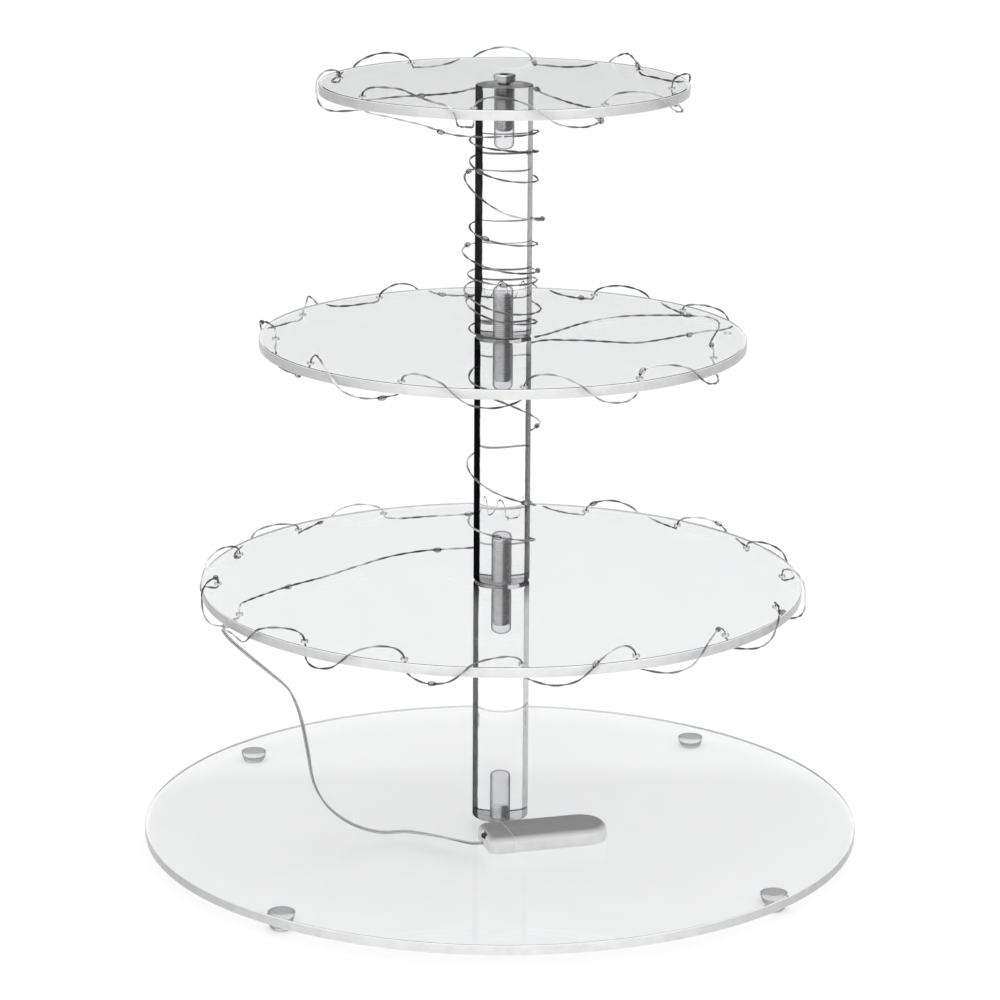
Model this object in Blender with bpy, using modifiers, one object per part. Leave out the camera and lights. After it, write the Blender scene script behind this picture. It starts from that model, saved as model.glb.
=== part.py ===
"""Four-tier clear acrylic cake stand with a battery string light laced through its tiers.

Metres, +Z up. The origin is on the surface the stand rests on, beneath the middle of the post.
The string light is one long wire, made here as a lead and five stretches that meet end to end."""

import math

import bmesh
import bpy
from mathutils import Matrix, Vector

# Driving dimensions, in metres.
PITCH = 0.104
DISC_THICKNESS = 0.004
BASE_DISC_BOTTOM = 0.005
DISC_RADII = (0.150, 0.125, 0.100, 0.075)
ROD_RADIUS = 0.0117
GAP = 0.0003
EDGE = 0.0003

TAPPED_HOLE_RADIUS = 0.0028
THREAD_RADIUS = 0.0025
STUD_LENGTH = 0.040
STUD_HOLE_DEPTH = 0.0215
TOP_SCREW_HOLE_DEPTH = 0.0224
BASE_SCREW_HOLE_DEPTH = 0.021
SCREW_LENGTH = {"top_screw": 0.0195, "base_screw": 0.0098}
SCREW_HEAD = (0.0045, 0.003)
SOCKET_WIDTH = 0.004
SOCKET_DEPTH = 0.0018

FOOT_HEIGHT = BASE_DISC_BOTTOM - GAP
FOOT_RADII = (0.0055, 0.0045)
FOOT_CIRCLE = 0.140
FOOT_FIRST_ANGLE = 52.0

LACE_HOLE_RADIUS = 0.0015
LACE_MARGIN = 0.007
LACE_HOLES = {1: (16, 206.5), 2: (12, 5.0), 3: (8, 215.0)}

WIRE_RADIUS = 0.00045
LEAD_RADIUS = 0.00075
WINDING_RADIUS = 0.0139

BOX_PLACE = (0.0185, -0.033)
BOX_TURN = 16.5
BOX_LENGTH = 0.053
BOX_WIDTH = 0.0226
BOX_HEIGHT = 0.007
BOX_RIGHT_CORNER = 0.0105
BOX_LEFT_CORNER = 0.004
BOX_FLOOR = 0.0012
BLOCK_END = -0.0163
COVER_START = -0.0160
COVER_FOOT = 0.0015
COVER_ROOF = 0.0011
COVER_WALL = 0.0009
CELL_RADIUS = 0.010
CELL_HEIGHT = 0.0032
CELL_BOTTOM = 0.0020
CELL_PLACES = {"coin_cell_left": -0.0053, "coin_cell_right": 0.0152}
SWITCH_TRAVEL = 0.002

DISC_NAMES = ("base_disc", "lower_tier_disc", "middle_tier_disc", "top_tier_disc")
ROD_NAMES = ("lower_rod", "middle_rod", "upper_rod")


def disc_bottom(tier):
    return BASE_DISC_BOTTOM + PITCH * tier


def disc_top(tier):
    return disc_bottom(tier) + DISC_THICKNESS


# Scene, collections and materials.
for old in list(bpy.data.objects):
    bpy.data.objects.remove(old)

parts = bpy.data.collections.new("cake_stand")
cutters = bpy.data.collections.new("cutters")
bpy.context.scene.collection.children.link(parts)
bpy.context.scene.collection.children.link(cutters)


def make_material(name, colour, roughness, metallic=0.0, transmission=0.0):
    material = bpy.data.materials.new(name)
    material.use_nodes = True
    shader = material.node_tree.nodes["Principled BSDF"]
    shader.inputs["Base Color"].default_value = (*colour, 1.0)
    shader.inputs["Roughness"].default_value = roughness
    shader.inputs["Metallic"].default_value = metallic
    shader.inputs["Transmission Weight"].default_value = transmission
    return material


ACRYLIC = make_material("clear_acrylic", (0.95, 0.96, 0.97), 0.04, transmission=1.0)
STEEL = make_material("steel", (0.55, 0.55, 0.56), 0.3, metallic=1.0)
NICKEL = make_material("nickel", (0.72, 0.70, 0.66), 0.3, metallic=1.0)
WIRE = make_material("silvery_wire", (0.45, 0.45, 0.46), 0.35, metallic=1.0)
LEAD = make_material("clear_lead", (0.62, 0.62, 0.63), 0.35)
RUBBER = make_material("clear_rubber", (0.80, 0.81, 0.82), 0.5)
CASE_PLASTIC = make_material("white_case_plastic", (0.80, 0.80, 0.80), 0.35)
KNOB_PLASTIC = make_material("grey_switch_plastic", (0.10, 0.10, 0.11), 0.45)
BOARD_GREEN = make_material("circuit_board", (0.03, 0.16, 0.07), 0.5)


# Shape helpers.
def add_object(name, mesh, material, collection=parts):
    obj = bpy.data.objects.new(name, mesh)
    collection.objects.link(obj)
    if material:
        mesh.materials.append(material)
    if collection is cutters:
        obj.hide_render = True
        obj.display_type = "WIRE"
    return obj


def shade(obj):
    obj.data.shade_smooth()
    obj.data.set_sharp_from_angle(angle=math.radians(30))


def turned(name, profile, steps, material, closed=False, collection=parts):
    """A profile of (radius, height) points, listed top to bottom down the outer side, turned about Z."""
    mesh = bpy.data.meshes.new(name)
    edges = [(i, i + 1) for i in range(len(profile) - 1)]
    if closed:
        edges.append((len(profile) - 1, 0))
    mesh.from_pydata([(radius, 0.0, height) for radius, height in profile], edges, [])
    obj = add_object(name, mesh, material, collection)
    screw = obj.modifiers.new("turn", "SCREW")
    screw.axis = "Z"
    screw.steps = steps
    screw.render_steps = steps
    screw.use_merge_vertices = True
    screw.merge_threshold = 0.00001
    screw.use_smooth_shade = True
    return obj


def cylinder_mesh(name, radius, height, sides):
    """A closed cylinder whose middle is at the origin."""
    shape = bmesh.new()
    bmesh.ops.create_cone(
        shape, cap_ends=True, segments=sides, radius1=radius, radius2=radius, depth=height
    )
    mesh = bpy.data.meshes.new(name)
    shape.to_mesh(mesh)
    shape.free()
    return mesh


def block_mesh(name, low, high):
    """A closed box between two corners."""
    low, high = Vector(low), Vector(high)
    shape = bmesh.new()
    bmesh.ops.create_cube(shape, size=1.0)
    bmesh.ops.scale(shape, vec=high - low, verts=shape.verts)
    bmesh.ops.translate(shape, vec=(low + high) / 2, verts=shape.verts)
    mesh = bpy.data.meshes.new(name)
    shape.to_mesh(mesh)
    shape.free()
    return mesh


def boolean(obj, other, operation="DIFFERENCE"):
    modifier = obj.modifiers.new(operation.lower(), "BOOLEAN")
    modifier.operation = operation
    modifier.object = other
    return modifier


def mesh_from_curve(curve_object, name, material, collection):
    """The welded mesh of a curve, in place of the curve."""
    bpy.context.view_layer.update()
    graph = bpy.context.evaluated_depsgraph_get()
    mesh = bpy.data.meshes.new_from_object(curve_object.evaluated_get(graph))
    shape = bmesh.new()
    shape.from_mesh(mesh)
    bmesh.ops.remove_doubles(shape, verts=shape.verts, dist=1e-6)
    shape.to_mesh(mesh)
    shape.free()
    mesh.materials.clear()
    place = curve_object.matrix_world.copy()
    bpy.data.objects.remove(curve_object)
    obj = add_object(name, mesh, material, collection)
    obj.matrix_world = place
    return obj


def plate(name, outline, low, high, material, collection=parts):
    """A flat piece of the outline's shape between two heights."""
    curve = bpy.data.curves.new(name + "_outline", "CURVE")
    curve.dimensions = "2D"
    curve.fill_mode = "BOTH"
    curve.extrude = (high - low) / 2
    spline = curve.splines.new("POLY")
    spline.points.add(len(outline) - 1)
    for point, (x, y) in zip(spline.points, outline):
        point.co = (x, y, 0.0, 1.0)
    spline.use_cyclic_u = True
    drawn = bpy.data.objects.new(name + "_outline", curve)
    bpy.context.scene.collection.objects.link(drawn)
    drawn.location = (0.0, 0.0, (low + high) / 2)
    solid = mesh_from_curve(drawn, name, material, collection)
    solid.data.transform(Matrix.Translation((0.0, 0.0, (low + high) / 2)))
    solid.location = (0.0, 0.0, 0.0)
    return solid


# Wire helpers.
def smooth_route(points, samples):
    """Points on a smooth curve through the given ones, with a number of steps for each span."""
    ends = [points[0] * 2 - points[1]] + list(points) + [points[-1] * 2 - points[-2]]
    route = []
    for before, start, end, after in zip(ends, ends[1:], ends[2:], ends[3:]):
        for step in range(samples):
            t = step / samples
            route.append(
                0.5
                * (
                    2 * start
                    + (end - before) * t
                    + (2 * before - 5 * start + 4 * end - after) * t**2
                    + (3 * start - before - 3 * end + after) * t**3
                )
            )
    route.append(points[-1].copy())
    return route


def polar(radius, degrees, height):
    angle = math.radians(degrees)
    return Vector((radius * math.cos(angle), radius * math.sin(angle), height))


def wire(name, route, radius, material):
    """A round wire along the route."""
    curve = bpy.data.curves.new(name, "CURVE")
    curve.dimensions = "3D"
    curve.bevel_depth = radius
    curve.bevel_resolution = 2
    curve.use_fill_caps = True
    spline = curve.splines.new("POLY")
    spline.points.add(len(route) - 1)
    for point, place in zip(spline.points, route):
        point.co = (*place, 1.0)
    obj = bpy.data.objects.new(name, curve)
    parts.objects.link(obj)
    curve.materials.append(material)
    return obj


def hole_angle(tier, index):
    count, first = LACE_HOLES[tier]
    return first + 360.0 / count * index


def lace_point(tier, place, out, height):
    """A point at a place counted in holes; out is from the rim, height from the top or the bottom face."""
    level = disc_top(tier) if height >= 0 else disc_bottom(tier)
    return polar(DISC_RADII[tier] + out, hole_angle(tier, place), level + height)


# One over-the-rim stitch from hole 0 to hole 1: (share of the way, distance out from the rim,
# height above the top face, or below the bottom face where it is negative).
STITCH = (
    (0.01, -LACE_MARGIN, -0.0009),
    (0.10, -0.0030, -0.0024),
    (0.25, 0.0008, -0.0031),
    (0.42, 0.0018, -0.0015),
    (0.52, 0.0016, -0.0045),
    (0.60, 0.0009, 0.0015),
    (0.76, -0.0025, 0.0040),
    (0.92, -0.0065, 0.0032),
    (0.99, -LACE_MARGIN, 0.0009),
)
RIM_POINT = 4
RIM_HEIGHT = DISC_THICKNESS / 2


def stitch(tier, hole, rising, lift=1.0, first=0, last=len(STITCH)):
    """The points of one stitch. A falling one goes beneath and round the rim, then down the next hole.
    A rising one is its mirror: up the first hole, over the rim and beneath. lift scales its arch."""
    points = []
    for number, (share, out, height) in list(enumerate(STITCH))[first:last]:
        place = 1.0 - share if rising else share
        if number == RIM_POINT:
            level = disc_bottom(tier) + RIM_HEIGHT
            points.append(polar(DISC_RADII[tier] + out, hole_angle(tier, hole + place), level))
        else:
            raised = height * lift if number in (6, 7) else height
            points.append(lace_point(tier, hole + place, out, raised))
    return points[::-1] if rising else points


def up_hole(tier, hole):
    """Straight up through a hole, from just beneath it to just above it."""
    return [
        lace_point(tier, hole, -LACE_MARGIN, -0.0009),
        lace_point(tier, hole, -LACE_MARGIN, 0.0009),
    ]


# Discs, with the lacing holes near the rims of the three upper ones.
lace_cutter_mesh = cylinder_mesh("lace_hole", LACE_HOLE_RADIUS, 3 * DISC_THICKNESS, 8)
for tier, (name, radius) in enumerate(zip(DISC_NAMES, DISC_RADII)):
    top = disc_top(tier)
    bottom = disc_bottom(tier)
    disc = turned(
        name,
        [
            (TAPPED_HOLE_RADIUS, top),
            (radius - EDGE, top),
            (radius, top - EDGE),
            (radius, bottom + EDGE),
            (radius - EDGE, bottom),
            (TAPPED_HOLE_RADIUS, bottom),
        ],
        48,
        ACRYLIC,
        closed=True,
    )
    if tier not in LACE_HOLES:
        continue
    for index in range(LACE_HOLES[tier][0]):
        cutter = add_object(f"lace_hole_{tier}_{index}", lace_cutter_mesh, None, cutters)
        cutter.location = polar(
            radius - LACE_MARGIN, hole_angle(tier, index), (top + bottom) / 2
        )
        boolean(disc, cutter)

# Post rods, each with a blind tapped hole in both ends.
HOLE_DEPTHS = (
    (BASE_SCREW_HOLE_DEPTH, STUD_HOLE_DEPTH),
    (STUD_HOLE_DEPTH, STUD_HOLE_DEPTH),
    (STUD_HOLE_DEPTH, TOP_SCREW_HOLE_DEPTH),
)
HOLE_CONE = 0.0015
for tier, (name, (low_depth, high_depth)) in enumerate(zip(ROD_NAMES, HOLE_DEPTHS)):
    low = disc_top(tier) + GAP
    high = disc_bottom(tier + 1) - GAP
    turned(
        name,
        [
            (0.0, high - high_depth),
            (TAPPED_HOLE_RADIUS, high - high_depth + HOLE_CONE),
            (TAPPED_HOLE_RADIUS, high),
            (ROD_RADIUS - EDGE, high),
            (ROD_RADIUS, high - EDGE),
            (ROD_RADIUS, low + EDGE),
            (ROD_RADIUS - EDGE, low),
            (TAPPED_HOLE_RADIUS, low),
            (TAPPED_HOLE_RADIUS, low + low_depth - HOLE_CONE),
            (0.0, low + low_depth),
        ],
        24,
        ACRYLIC,
    )

# Studs that join rod to rod through the two middle discs.
STUD_POINT = 0.0006
for name, tier in (("lower_stud", 1), ("upper_stud", 2)):
    middle = (disc_top(tier) + disc_bottom(tier)) / 2
    turned(
        name,
        [
            (0.0, middle + STUD_LENGTH / 2),
            (THREAD_RADIUS - STUD_POINT, middle + STUD_LENGTH / 2),
            (THREAD_RADIUS, middle + STUD_LENGTH / 2 - STUD_POINT),
            (THREAD_RADIUS, middle - STUD_LENGTH / 2 + STUD_POINT),
            (THREAD_RADIUS - STUD_POINT, middle - STUD_LENGTH / 2),
            (0.0, middle - STUD_LENGTH / 2),
        ],
        16,
        STEEL,
    )

# The two screws that close the post, with a hexagon socket in the head.
HEAD_RADIUS, HEAD_HEIGHT = SCREW_HEAD
for name, seat, way in (
    ("top_screw", disc_top(3) + GAP, 1.0),
    ("base_screw", BASE_DISC_BOTTOM - GAP, -1.0),
):
    tip = SCREW_LENGTH[name]
    screw = turned(
        name,
        [
            (0.0, HEAD_HEIGHT),
            (HEAD_RADIUS - 0.0008, HEAD_HEIGHT),
            (HEAD_RADIUS, HEAD_HEIGHT - 0.0008),
            (HEAD_RADIUS, 0.0),
            (THREAD_RADIUS, 0.0),
            (THREAD_RADIUS, STUD_POINT - tip),
            (THREAD_RADIUS - STUD_POINT, -tip),
            (0.0, -tip),
        ],
        20,
        STEEL,
    )
    screw.location = (0.0, 0.0, seat)
    screw.rotation_euler = (0.0 if way > 0 else math.pi, 0.0, 0.0)
    socket = add_object(
        name + "_socket",
        cylinder_mesh(name + "_socket", SOCKET_WIDTH / math.sqrt(3), 2 * SOCKET_DEPTH, 6),
        None,
        cutters,
    )
    socket.location = (0.0, 0.0, seat + way * HEAD_HEIGHT)
    boolean(screw, socket)

# Feet.
FOOT_CORNER = 0.0006
for number in range(4):
    foot = turned(
        f"foot_{number + 1}",
        [
            (0.0, FOOT_HEIGHT),
            (FOOT_RADII[0], FOOT_HEIGHT),
            (FOOT_RADII[1], FOOT_CORNER),
            (FOOT_RADII[1] - FOOT_CORNER, 0.0),
            (0.0, 0.0),
        ],
        16,
        RUBBER,
    )
    foot.location = polar(FOOT_CIRCLE, FOOT_FIRST_ANGLE + 90.0 * number, 0.0)

# Battery box. Its own frame has +X from the switch end to the round end, and its floor on the base disc.
box_frame = bpy.data.objects.new("battery_box_frame", None)
parts.objects.link(box_frame)
box_frame.location = (*BOX_PLACE, disc_top(0) + GAP)
box_frame.rotation_euler = (0.0, 0.0, math.radians(BOX_TURN))
bpy.context.view_layer.update()


def box_outline(inset=0.0, steps=6):
    """The box's outline seen from above, drawn in by an inset."""
    half_length = BOX_LENGTH / 2
    half_width = BOX_WIDTH / 2
    outline = []
    corners = (
        (half_length, half_width, BOX_RIGHT_CORNER, 0.0),
        (-half_length, half_width, BOX_LEFT_CORNER, 90.0),
        (-half_length, -half_width, BOX_LEFT_CORNER, 180.0),
        (half_length, -half_width, BOX_RIGHT_CORNER, 270.0),
    )
    for x, y, corner, start in corners:
        centre_x = x - math.copysign(corner, x)
        centre_y = y - math.copysign(corner, y)
        for step in range(steps + 1):
            angle = math.radians(start + 90.0 * step / steps)
            outline.append(
                (
                    centre_x + (corner - inset) * math.cos(angle),
                    centre_y + (corner - inset) * math.sin(angle),
                )
            )
    return outline


def in_box(obj):
    """Puts an object made in the box's frame where it belongs."""
    obj.parent = box_frame
    return obj


def box_block(name, low, high, material=None, collection=cutters):
    return in_box(add_object(name, block_mesh(name, low, high), material, collection))


FAR = 0.040
BLOCK_CAVITY = ((-0.0253, -0.0090, BOX_FLOOR), (BLOCK_END + 0.001, 0.0090, 0.0060))
KNOB_SLOT = ((-0.0275, -0.0030, 0.0038), (-0.0250, 0.0030, 0.0062))
LEAD_NOTCH = ((-0.0275, -0.0003, 0.00045), (-0.0247, 0.00185, 0.00255))
RIB = (0.0093, 0.0099, 0.0004)

case = in_box(plate("battery_case", box_outline(), 0.0, BOX_HEIGHT, CASE_PLASTIC))
boolean(case, box_block("case_opening", (BLOCK_END, -FAR, BOX_FLOOR), (FAR, FAR, FAR)))
boolean(case, box_block("block_cavity", *BLOCK_CAVITY))
boolean(case, box_block("knob_slot", *KNOB_SLOT))
boolean(case, box_block("lead_notch", *LEAD_NOTCH))
for side in (-1, 1):
    inner, outer = sorted((side * RIB[0], side * RIB[1]))
    rib = box_block(
        f"guide_rib_{side}",
        (COVER_START, inner, BOX_FLOOR / 2),
        (CELL_PLACES["coin_cell_right"], outer, BOX_FLOOR + RIB[2]),
    )
    boolean(case, rib, "UNION")

cover = in_box(plate("battery_cover", box_outline(), COVER_FOOT, BOX_HEIGHT, CASE_PLASTIC))
hollow = in_box(
    plate(
        "cover_hollow", box_outline(COVER_WALL), 0.0, BOX_HEIGHT - COVER_ROOF, None, cutters
    )
)
boolean(cover, hollow)
boolean(cover, box_block("cover_end", (-FAR, -FAR, -FAR), (COVER_START, FAR, FAR)))

KNOB_LOW = (-0.0274, -0.00265, 0.00415)
KNOB_HIGH = (-0.0251, 0.00065, 0.00585)
knob = box_block("power_switch", KNOB_LOW, KNOB_HIGH, KNOB_PLASTIC, parts)
knob_edges = knob.modifiers.new("edges", "BEVEL")
knob_edges.width = 0.00025
knob_edges.segments = 1

box_block("switch_body", (-0.0248, -0.0045, 0.0040), (-0.0206, 0.0045, 0.0057), KNOB_PLASTIC, parts)
box_block("control_board", (-0.0250, -0.0085, 0.0028), (-0.0169, 0.0085, 0.0036), BOARD_GREEN, parts)
box_block("positive_contact", (-0.0158, 0.0045, 0.0015), (0.0180, 0.0075, 0.0017), NICKEL, parts)
box_block("negative_contact", (-0.0158, -0.0065, 0.0015), (-0.0040, -0.0015, 0.0017), NICKEL, parts)
box_block("bridge_contact", (-0.0080, -0.0030, 0.00535), (0.0180, 0.0030, 0.0056), NICKEL, parts)
for name, place in CELL_PLACES.items():
    cell = in_box(add_object(name, cylinder_mesh(name, CELL_RADIUS, CELL_HEIGHT, 24), STEEL))
    cell.location = (place, 0.0, CELL_BOTTOM + CELL_HEIGHT / 2)
    rim = cell.modifiers.new("rim", "BEVEL")
    rim.width = 0.0003
    rim.segments = 1
    rim.limit_method = "ANGLE"


# The lead, from the battery box along the base disc and up to the lower tier's rim.
LEAD_ROUTE = (
    (-0.0057, -0.0394, 0.01085),
    (-0.0086, -0.0402, 0.0107),
    (-0.0122, -0.0393, 0.0103),
    (-0.0170, -0.0360, 0.0101),
    (-0.0233, -0.0322, 0.0101),
    (-0.0329, -0.0273, 0.0101),
    (-0.0397, -0.0252, 0.0101),
    (-0.0496, -0.0268, 0.0103),
    (-0.0609, -0.0268, 0.0135),
    (-0.0695, -0.0295, 0.0204),
    (-0.0742, -0.0330, 0.0276),
    (-0.0772, -0.0370, 0.0363),
    (-0.0792, -0.0420, 0.0515),
    (-0.0813, -0.0460, 0.0653),
    (-0.0835, -0.0480, 0.0737),
    (-0.0865, -0.0500, 0.0803),
    (-0.0947, -0.0530, 0.0889),
    (-0.1049, -0.0558, 0.0987),
    (-0.1100, -0.0568, 0.1040),
    (-0.1122, -0.0572, 0.1072),
)
lead_points = [Vector(point) for point in LEAD_ROUTE]
wire("lead_wire", smooth_route(lead_points, 2), LEAD_RADIUS, LEAD)

# Lower tier's lacing: it starts where the lead ends, falls through eleven holes, runs beneath
# to the next and rises through the rest, and comes up through its first hole.
LOWER_LIFTS = (0.9, 1.1, 0.8, 1.2, 1.0, 0.8, 1.1, 0.9, 1.0, 1.1, 0.9)
LOWER_RISING = ((12, 1.0), (13, 0.8), (14, 1.1), (15, 0.9))
lower_start = [
    polar(0.1262, 207.15, 0.1079),
    polar(0.1268, 209.2, 0.1086),
    polar(0.1270, 212.2, 0.1088),
]
lower_lace = lower_start + stitch(1, 0, rising=False, lift=LOWER_LIFTS[0], first=3)
for hole, lift in enumerate(LOWER_LIFTS[1:], start=1):
    lower_lace += stitch(1, hole, rising=False, lift=lift)
lower_lace += [
    lace_point(1, 11.01, -LACE_MARGIN, -0.0009),
    lace_point(1, 11.12, -0.0064, -0.0025),
    lace_point(1, 11.50, -0.0056, -0.0032),
    lace_point(1, 11.88, -0.0064, -0.0025),
    lace_point(1, 11.99, -LACE_MARGIN, -0.0009),
]
for hole, lift in LOWER_RISING:
    lower_lace += stitch(1, hole, rising=True, lift=lift)
lower_lace += up_hole(1, 16)[1:]
wire("lower_tier_string", lower_lace, WIRE_RADIUS, WIRE)

# Across the lower tier's top to the post, and up it in four loose turns.
CROSSING = (
    (-0.10561, -0.05264, 0.1144),
    (-0.1054, -0.0510, 0.1158),
    (-0.1040, -0.0430, 0.1149),
    (-0.0978, -0.0307, 0.1142),
    (-0.0880, -0.0175, 0.1141),
    (-0.0733, -0.0025, 0.1142),
    (-0.0590, 0.0120, 0.1152),
    (-0.0470, 0.0208, 0.1165),
    (-0.0330, 0.0240, 0.1182),
    (-0.0200, 0.0212, 0.1200),
    (-0.0100, 0.0162, 0.1222),
)
LOWER_WINDING = (
    (90.0, 0.1262),
    (0.0, 0.1300),
    (-90.0, 0.1345),
    (-180.0, 0.1380),
    (-270.0, 0.1415),
    (-360.0, 0.1448),
    (-450.0, 0.1525),
    (-540.0, 0.1628),
    (-630.0, 0.1680),
    (-720.0, 0.1800),
    (-810.0, 0.1918),
    (-900.0, 0.1960),
    (-980.0, 0.2025),
)
LOOSE_LOWER = {-720.0: 0.0155, -540.0: 0.0146, -450.0: 0.0143}


def winding(turns, loose, steps):
    """Points round the post through (angle, height) pairs, with a few that stand off it."""
    knots = [Vector((angle, loose.get(angle, WINDING_RADIUS), height)) for angle, height in turns]
    return [polar(knot.y, knot.x, knot.z) for knot in smooth_route(knots, steps)]


lower_post = smooth_route([Vector(point) for point in CROSSING], 2)
lower_post += winding(LOWER_WINDING, LOOSE_LOWER, 3)
LOWER_EXIT = (
    (0.0085, 0.0122, 0.2068),
    (0.0145, 0.0068, 0.2098),
    (0.0190, 0.0026, 0.2112),
)
lower_post += smooth_route([Vector(point) for point in LOWER_EXIT], 1)
wire("lower_post_string", lower_post, WIRE_RADIUS, WIRE)

# Beneath the middle tier to its rim, round it, and back over its top to the post.
BENEATH_MIDDLE = (
    (0.0195, 0.0022, 0.2114),
    (0.0254, -0.0004, 0.2118),
    (0.0330, -0.0006, 0.2118),
    (0.0430, -0.0034, 0.2119),
    (0.0540, -0.0053, 0.2119),
    (0.0633, 0.0004, 0.2118),
    (0.0736, 0.0101, 0.2116),
    (0.0845, 0.0215, 0.2112),
    (0.0925, 0.0290, 0.2104),
    (0.0962, 0.0324, 0.2114),
)
MIDDLE_LIFTS = (0.8, 1.0, 1.1, 0.9, 1.2, 1.0)
MIDDLE_RISING = ((7, 1.1), (8, 0.9), (9, 1.2), (10, 1.0))
OVER_MIDDLE = (
    (0.0843, -0.0386, 0.2193),
    (0.0838, -0.0330, 0.2199),
    (0.0838, -0.0220, 0.2186),
    (0.0869, -0.0011, 0.2180),
    (0.0893, 0.0130, 0.2180),
    (0.0893, 0.0245, 0.2182),
    (0.0855, 0.0315, 0.2184),
    (0.0760, 0.0350, 0.2182),
    (0.0630, 0.0363, 0.2180),
    (0.0510, 0.0340, 0.2180),
    (0.0410, 0.0278, 0.2180),
    (0.0322, 0.0180, 0.2180),
    (0.0240, 0.0060, 0.2180),
    (0.0180, -0.0030, 0.2180),
    (0.0130, -0.0085, 0.2180),
)
middle_lace = [Vector(point) for point in BENEATH_MIDDLE]
middle_lace += stitch(2, 0, rising=False, lift=MIDDLE_LIFTS[0], first=RIM_POINT)
for hole, lift in enumerate(MIDDLE_LIFTS[1:], start=1):
    middle_lace += stitch(2, hole, rising=False, lift=lift)
middle_lace += [
    lace_point(2, 6.01, -LACE_MARGIN, -0.0009),
    lace_point(2, 6.12, -0.0064, -0.0024),
    lace_point(2, 6.50, -0.0050, -0.0030),
    lace_point(2, 6.88, -0.0064, -0.0024),
    lace_point(2, 6.99, -LACE_MARGIN, -0.0009),
]
for hole, lift in MIDDLE_RISING:
    middle_lace += stitch(2, hole, rising=True, lift=lift)
middle_lace += up_hole(2, 11)[1:]
middle_lace += [Vector(point) for point in OVER_MIDDLE]
wire("middle_tier_string", middle_lace, WIRE_RADIUS, WIRE)

# Up the upper rod in nine and a half turns. Each turn's heights at the post's right, front, left
# and back follow one another; the wire stands off the rod at a few of them.
UPPER_TURNS = (
    (0.2180, 0.2182, 0.2197, 0.2210),
    (0.2226, 0.2250, 0.2310, 0.2312),
    (0.2280, 0.2290, 0.2360, 0.2388),
    (0.2400, 0.2405, 0.2424, 0.2430),
    (0.2438, 0.2460, 0.2520, 0.2540),
    (0.2550, 0.2574, 0.2620, 0.2632),
    (0.2650, 0.2702, 0.2825, 0.2838),
    (0.2815, 0.2834, 0.2890, 0.2910),
    (0.2930, 0.2955, 0.2975, 0.2990),
    (0.3012, 0.3012),
)
LOOSE_UPPER = {6: 0.0152, 8: 0.0155, 10: 0.0160, 14: 0.0145, 18: 0.0168, 24: 0.0160, 26: 0.0160}
upper_knots = []
for turn, heights in enumerate(UPPER_TURNS):
    for quarter, height in enumerate(heights):
        upper_knots.append((-90.0 * (4 * turn + quarter), height))
upper_loose = {-90.0 * number: radius for number, radius in LOOSE_UPPER.items()}
UPPER_START = 2
upper_post = winding(upper_knots, upper_loose, 3)[UPPER_START:]
wire("upper_post_string", upper_post, WIRE_RADIUS, WIRE)

# Beneath the top tier to its rim, a wide loop over its top, round the rim and back beneath it to
# the far side of the post, with its end hanging just beneath a lacing hole.
TO_TOP_RIM = (
    (-0.0010, -0.0139, 0.3012),
    (-0.0076, -0.0140, 0.3009),
    (-0.0150, -0.0164, 0.3016),
    (-0.0215, -0.0195, 0.3029),
    (-0.0325, -0.0260, 0.3075),
    (-0.0399, -0.0305, 0.3100),
    (-0.0473, -0.0345, 0.3124),
    (-0.0530, -0.0375, 0.3140),
)
WIDE_LOOP = (
    (-0.0541, -0.0406, 0.3238),
    (-0.0512, -0.0434, 0.3250),
    (-0.0444, -0.0494, 0.3257),
    (-0.0396, -0.0537, 0.3256),
    (-0.0344, -0.0584, 0.3240),
    (-0.0270, -0.0660, 0.3226),
    (-0.0210, -0.0732, 0.3218),
    (-0.0190, -0.0746, 0.3190),
    (-0.0180, -0.0722, 0.3150),
    (-0.0160, -0.0650, 0.3130),
    (-0.0140, -0.0600, 0.3122),
    (-0.0123, -0.0625, 0.3126),
)
TOP_LIFTS = ((1, 1.1), (2, 1.0), (3, 0.9), (4, 1.2), (5, 1.1), (6, 1.1), (7, 1.0))
TOP_RETURN = (
    (-0.0520, -0.0330, 0.3152),
    (-0.0430, -0.0245, 0.3150),
    (-0.0330, -0.0180, 0.3147),
    (-0.0245, -0.0110, 0.3143),
    (-0.0178, -0.0035, 0.3141),
    (-0.0135, 0.0050, 0.3140),
    (-0.0080, 0.0117, 0.3138),
    (0.0000, 0.0141, 0.3136),
    (0.0080, 0.0117, 0.3138),
    (0.0130, 0.0056, 0.3142),
    (0.0143, -0.0030, 0.3148),
    (0.0143, -0.0110, 0.3154),
    (0.0168, -0.0175, 0.3152),
    (0.0208, -0.0228, 0.3146),
    (0.0255, -0.0295, 0.3140),
    (0.0303, -0.0380, 0.3140),
    (0.0355, -0.0495, 0.3146),
    (0.0372, -0.0530, 0.3150),
)
top_lace = [Vector(point) for point in TO_TOP_RIM]
top_lace += up_hole(3, 0)
top_lace += [Vector(point) for point in WIDE_LOOP]
top_lace += up_hole(3, 1)[:1]
for hole, lift in TOP_LIFTS:
    top_lace += stitch(3, hole, rising=True, lift=lift, first=0 if hole < 7 else 1)
top_lace += [Vector(point) for point in TOP_RETURN]
wire("top_tier_string", top_lace, WIRE_RADIUS, WIRE)

for obj in parts.objects:
    if obj.type == "MESH":
        shade(obj)
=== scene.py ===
"""Finished meshes, materials, light and camera for the four-tier acrylic cake stand.

Metres, +Z up, in the frame's own axes. The wires' routes are the ones in part.py, drawn here as
twisted pairs, and the small LED drops along them exist only in this visual model."""

import math

import bmesh
import bpy
from mathutils import Matrix, Vector


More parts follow.
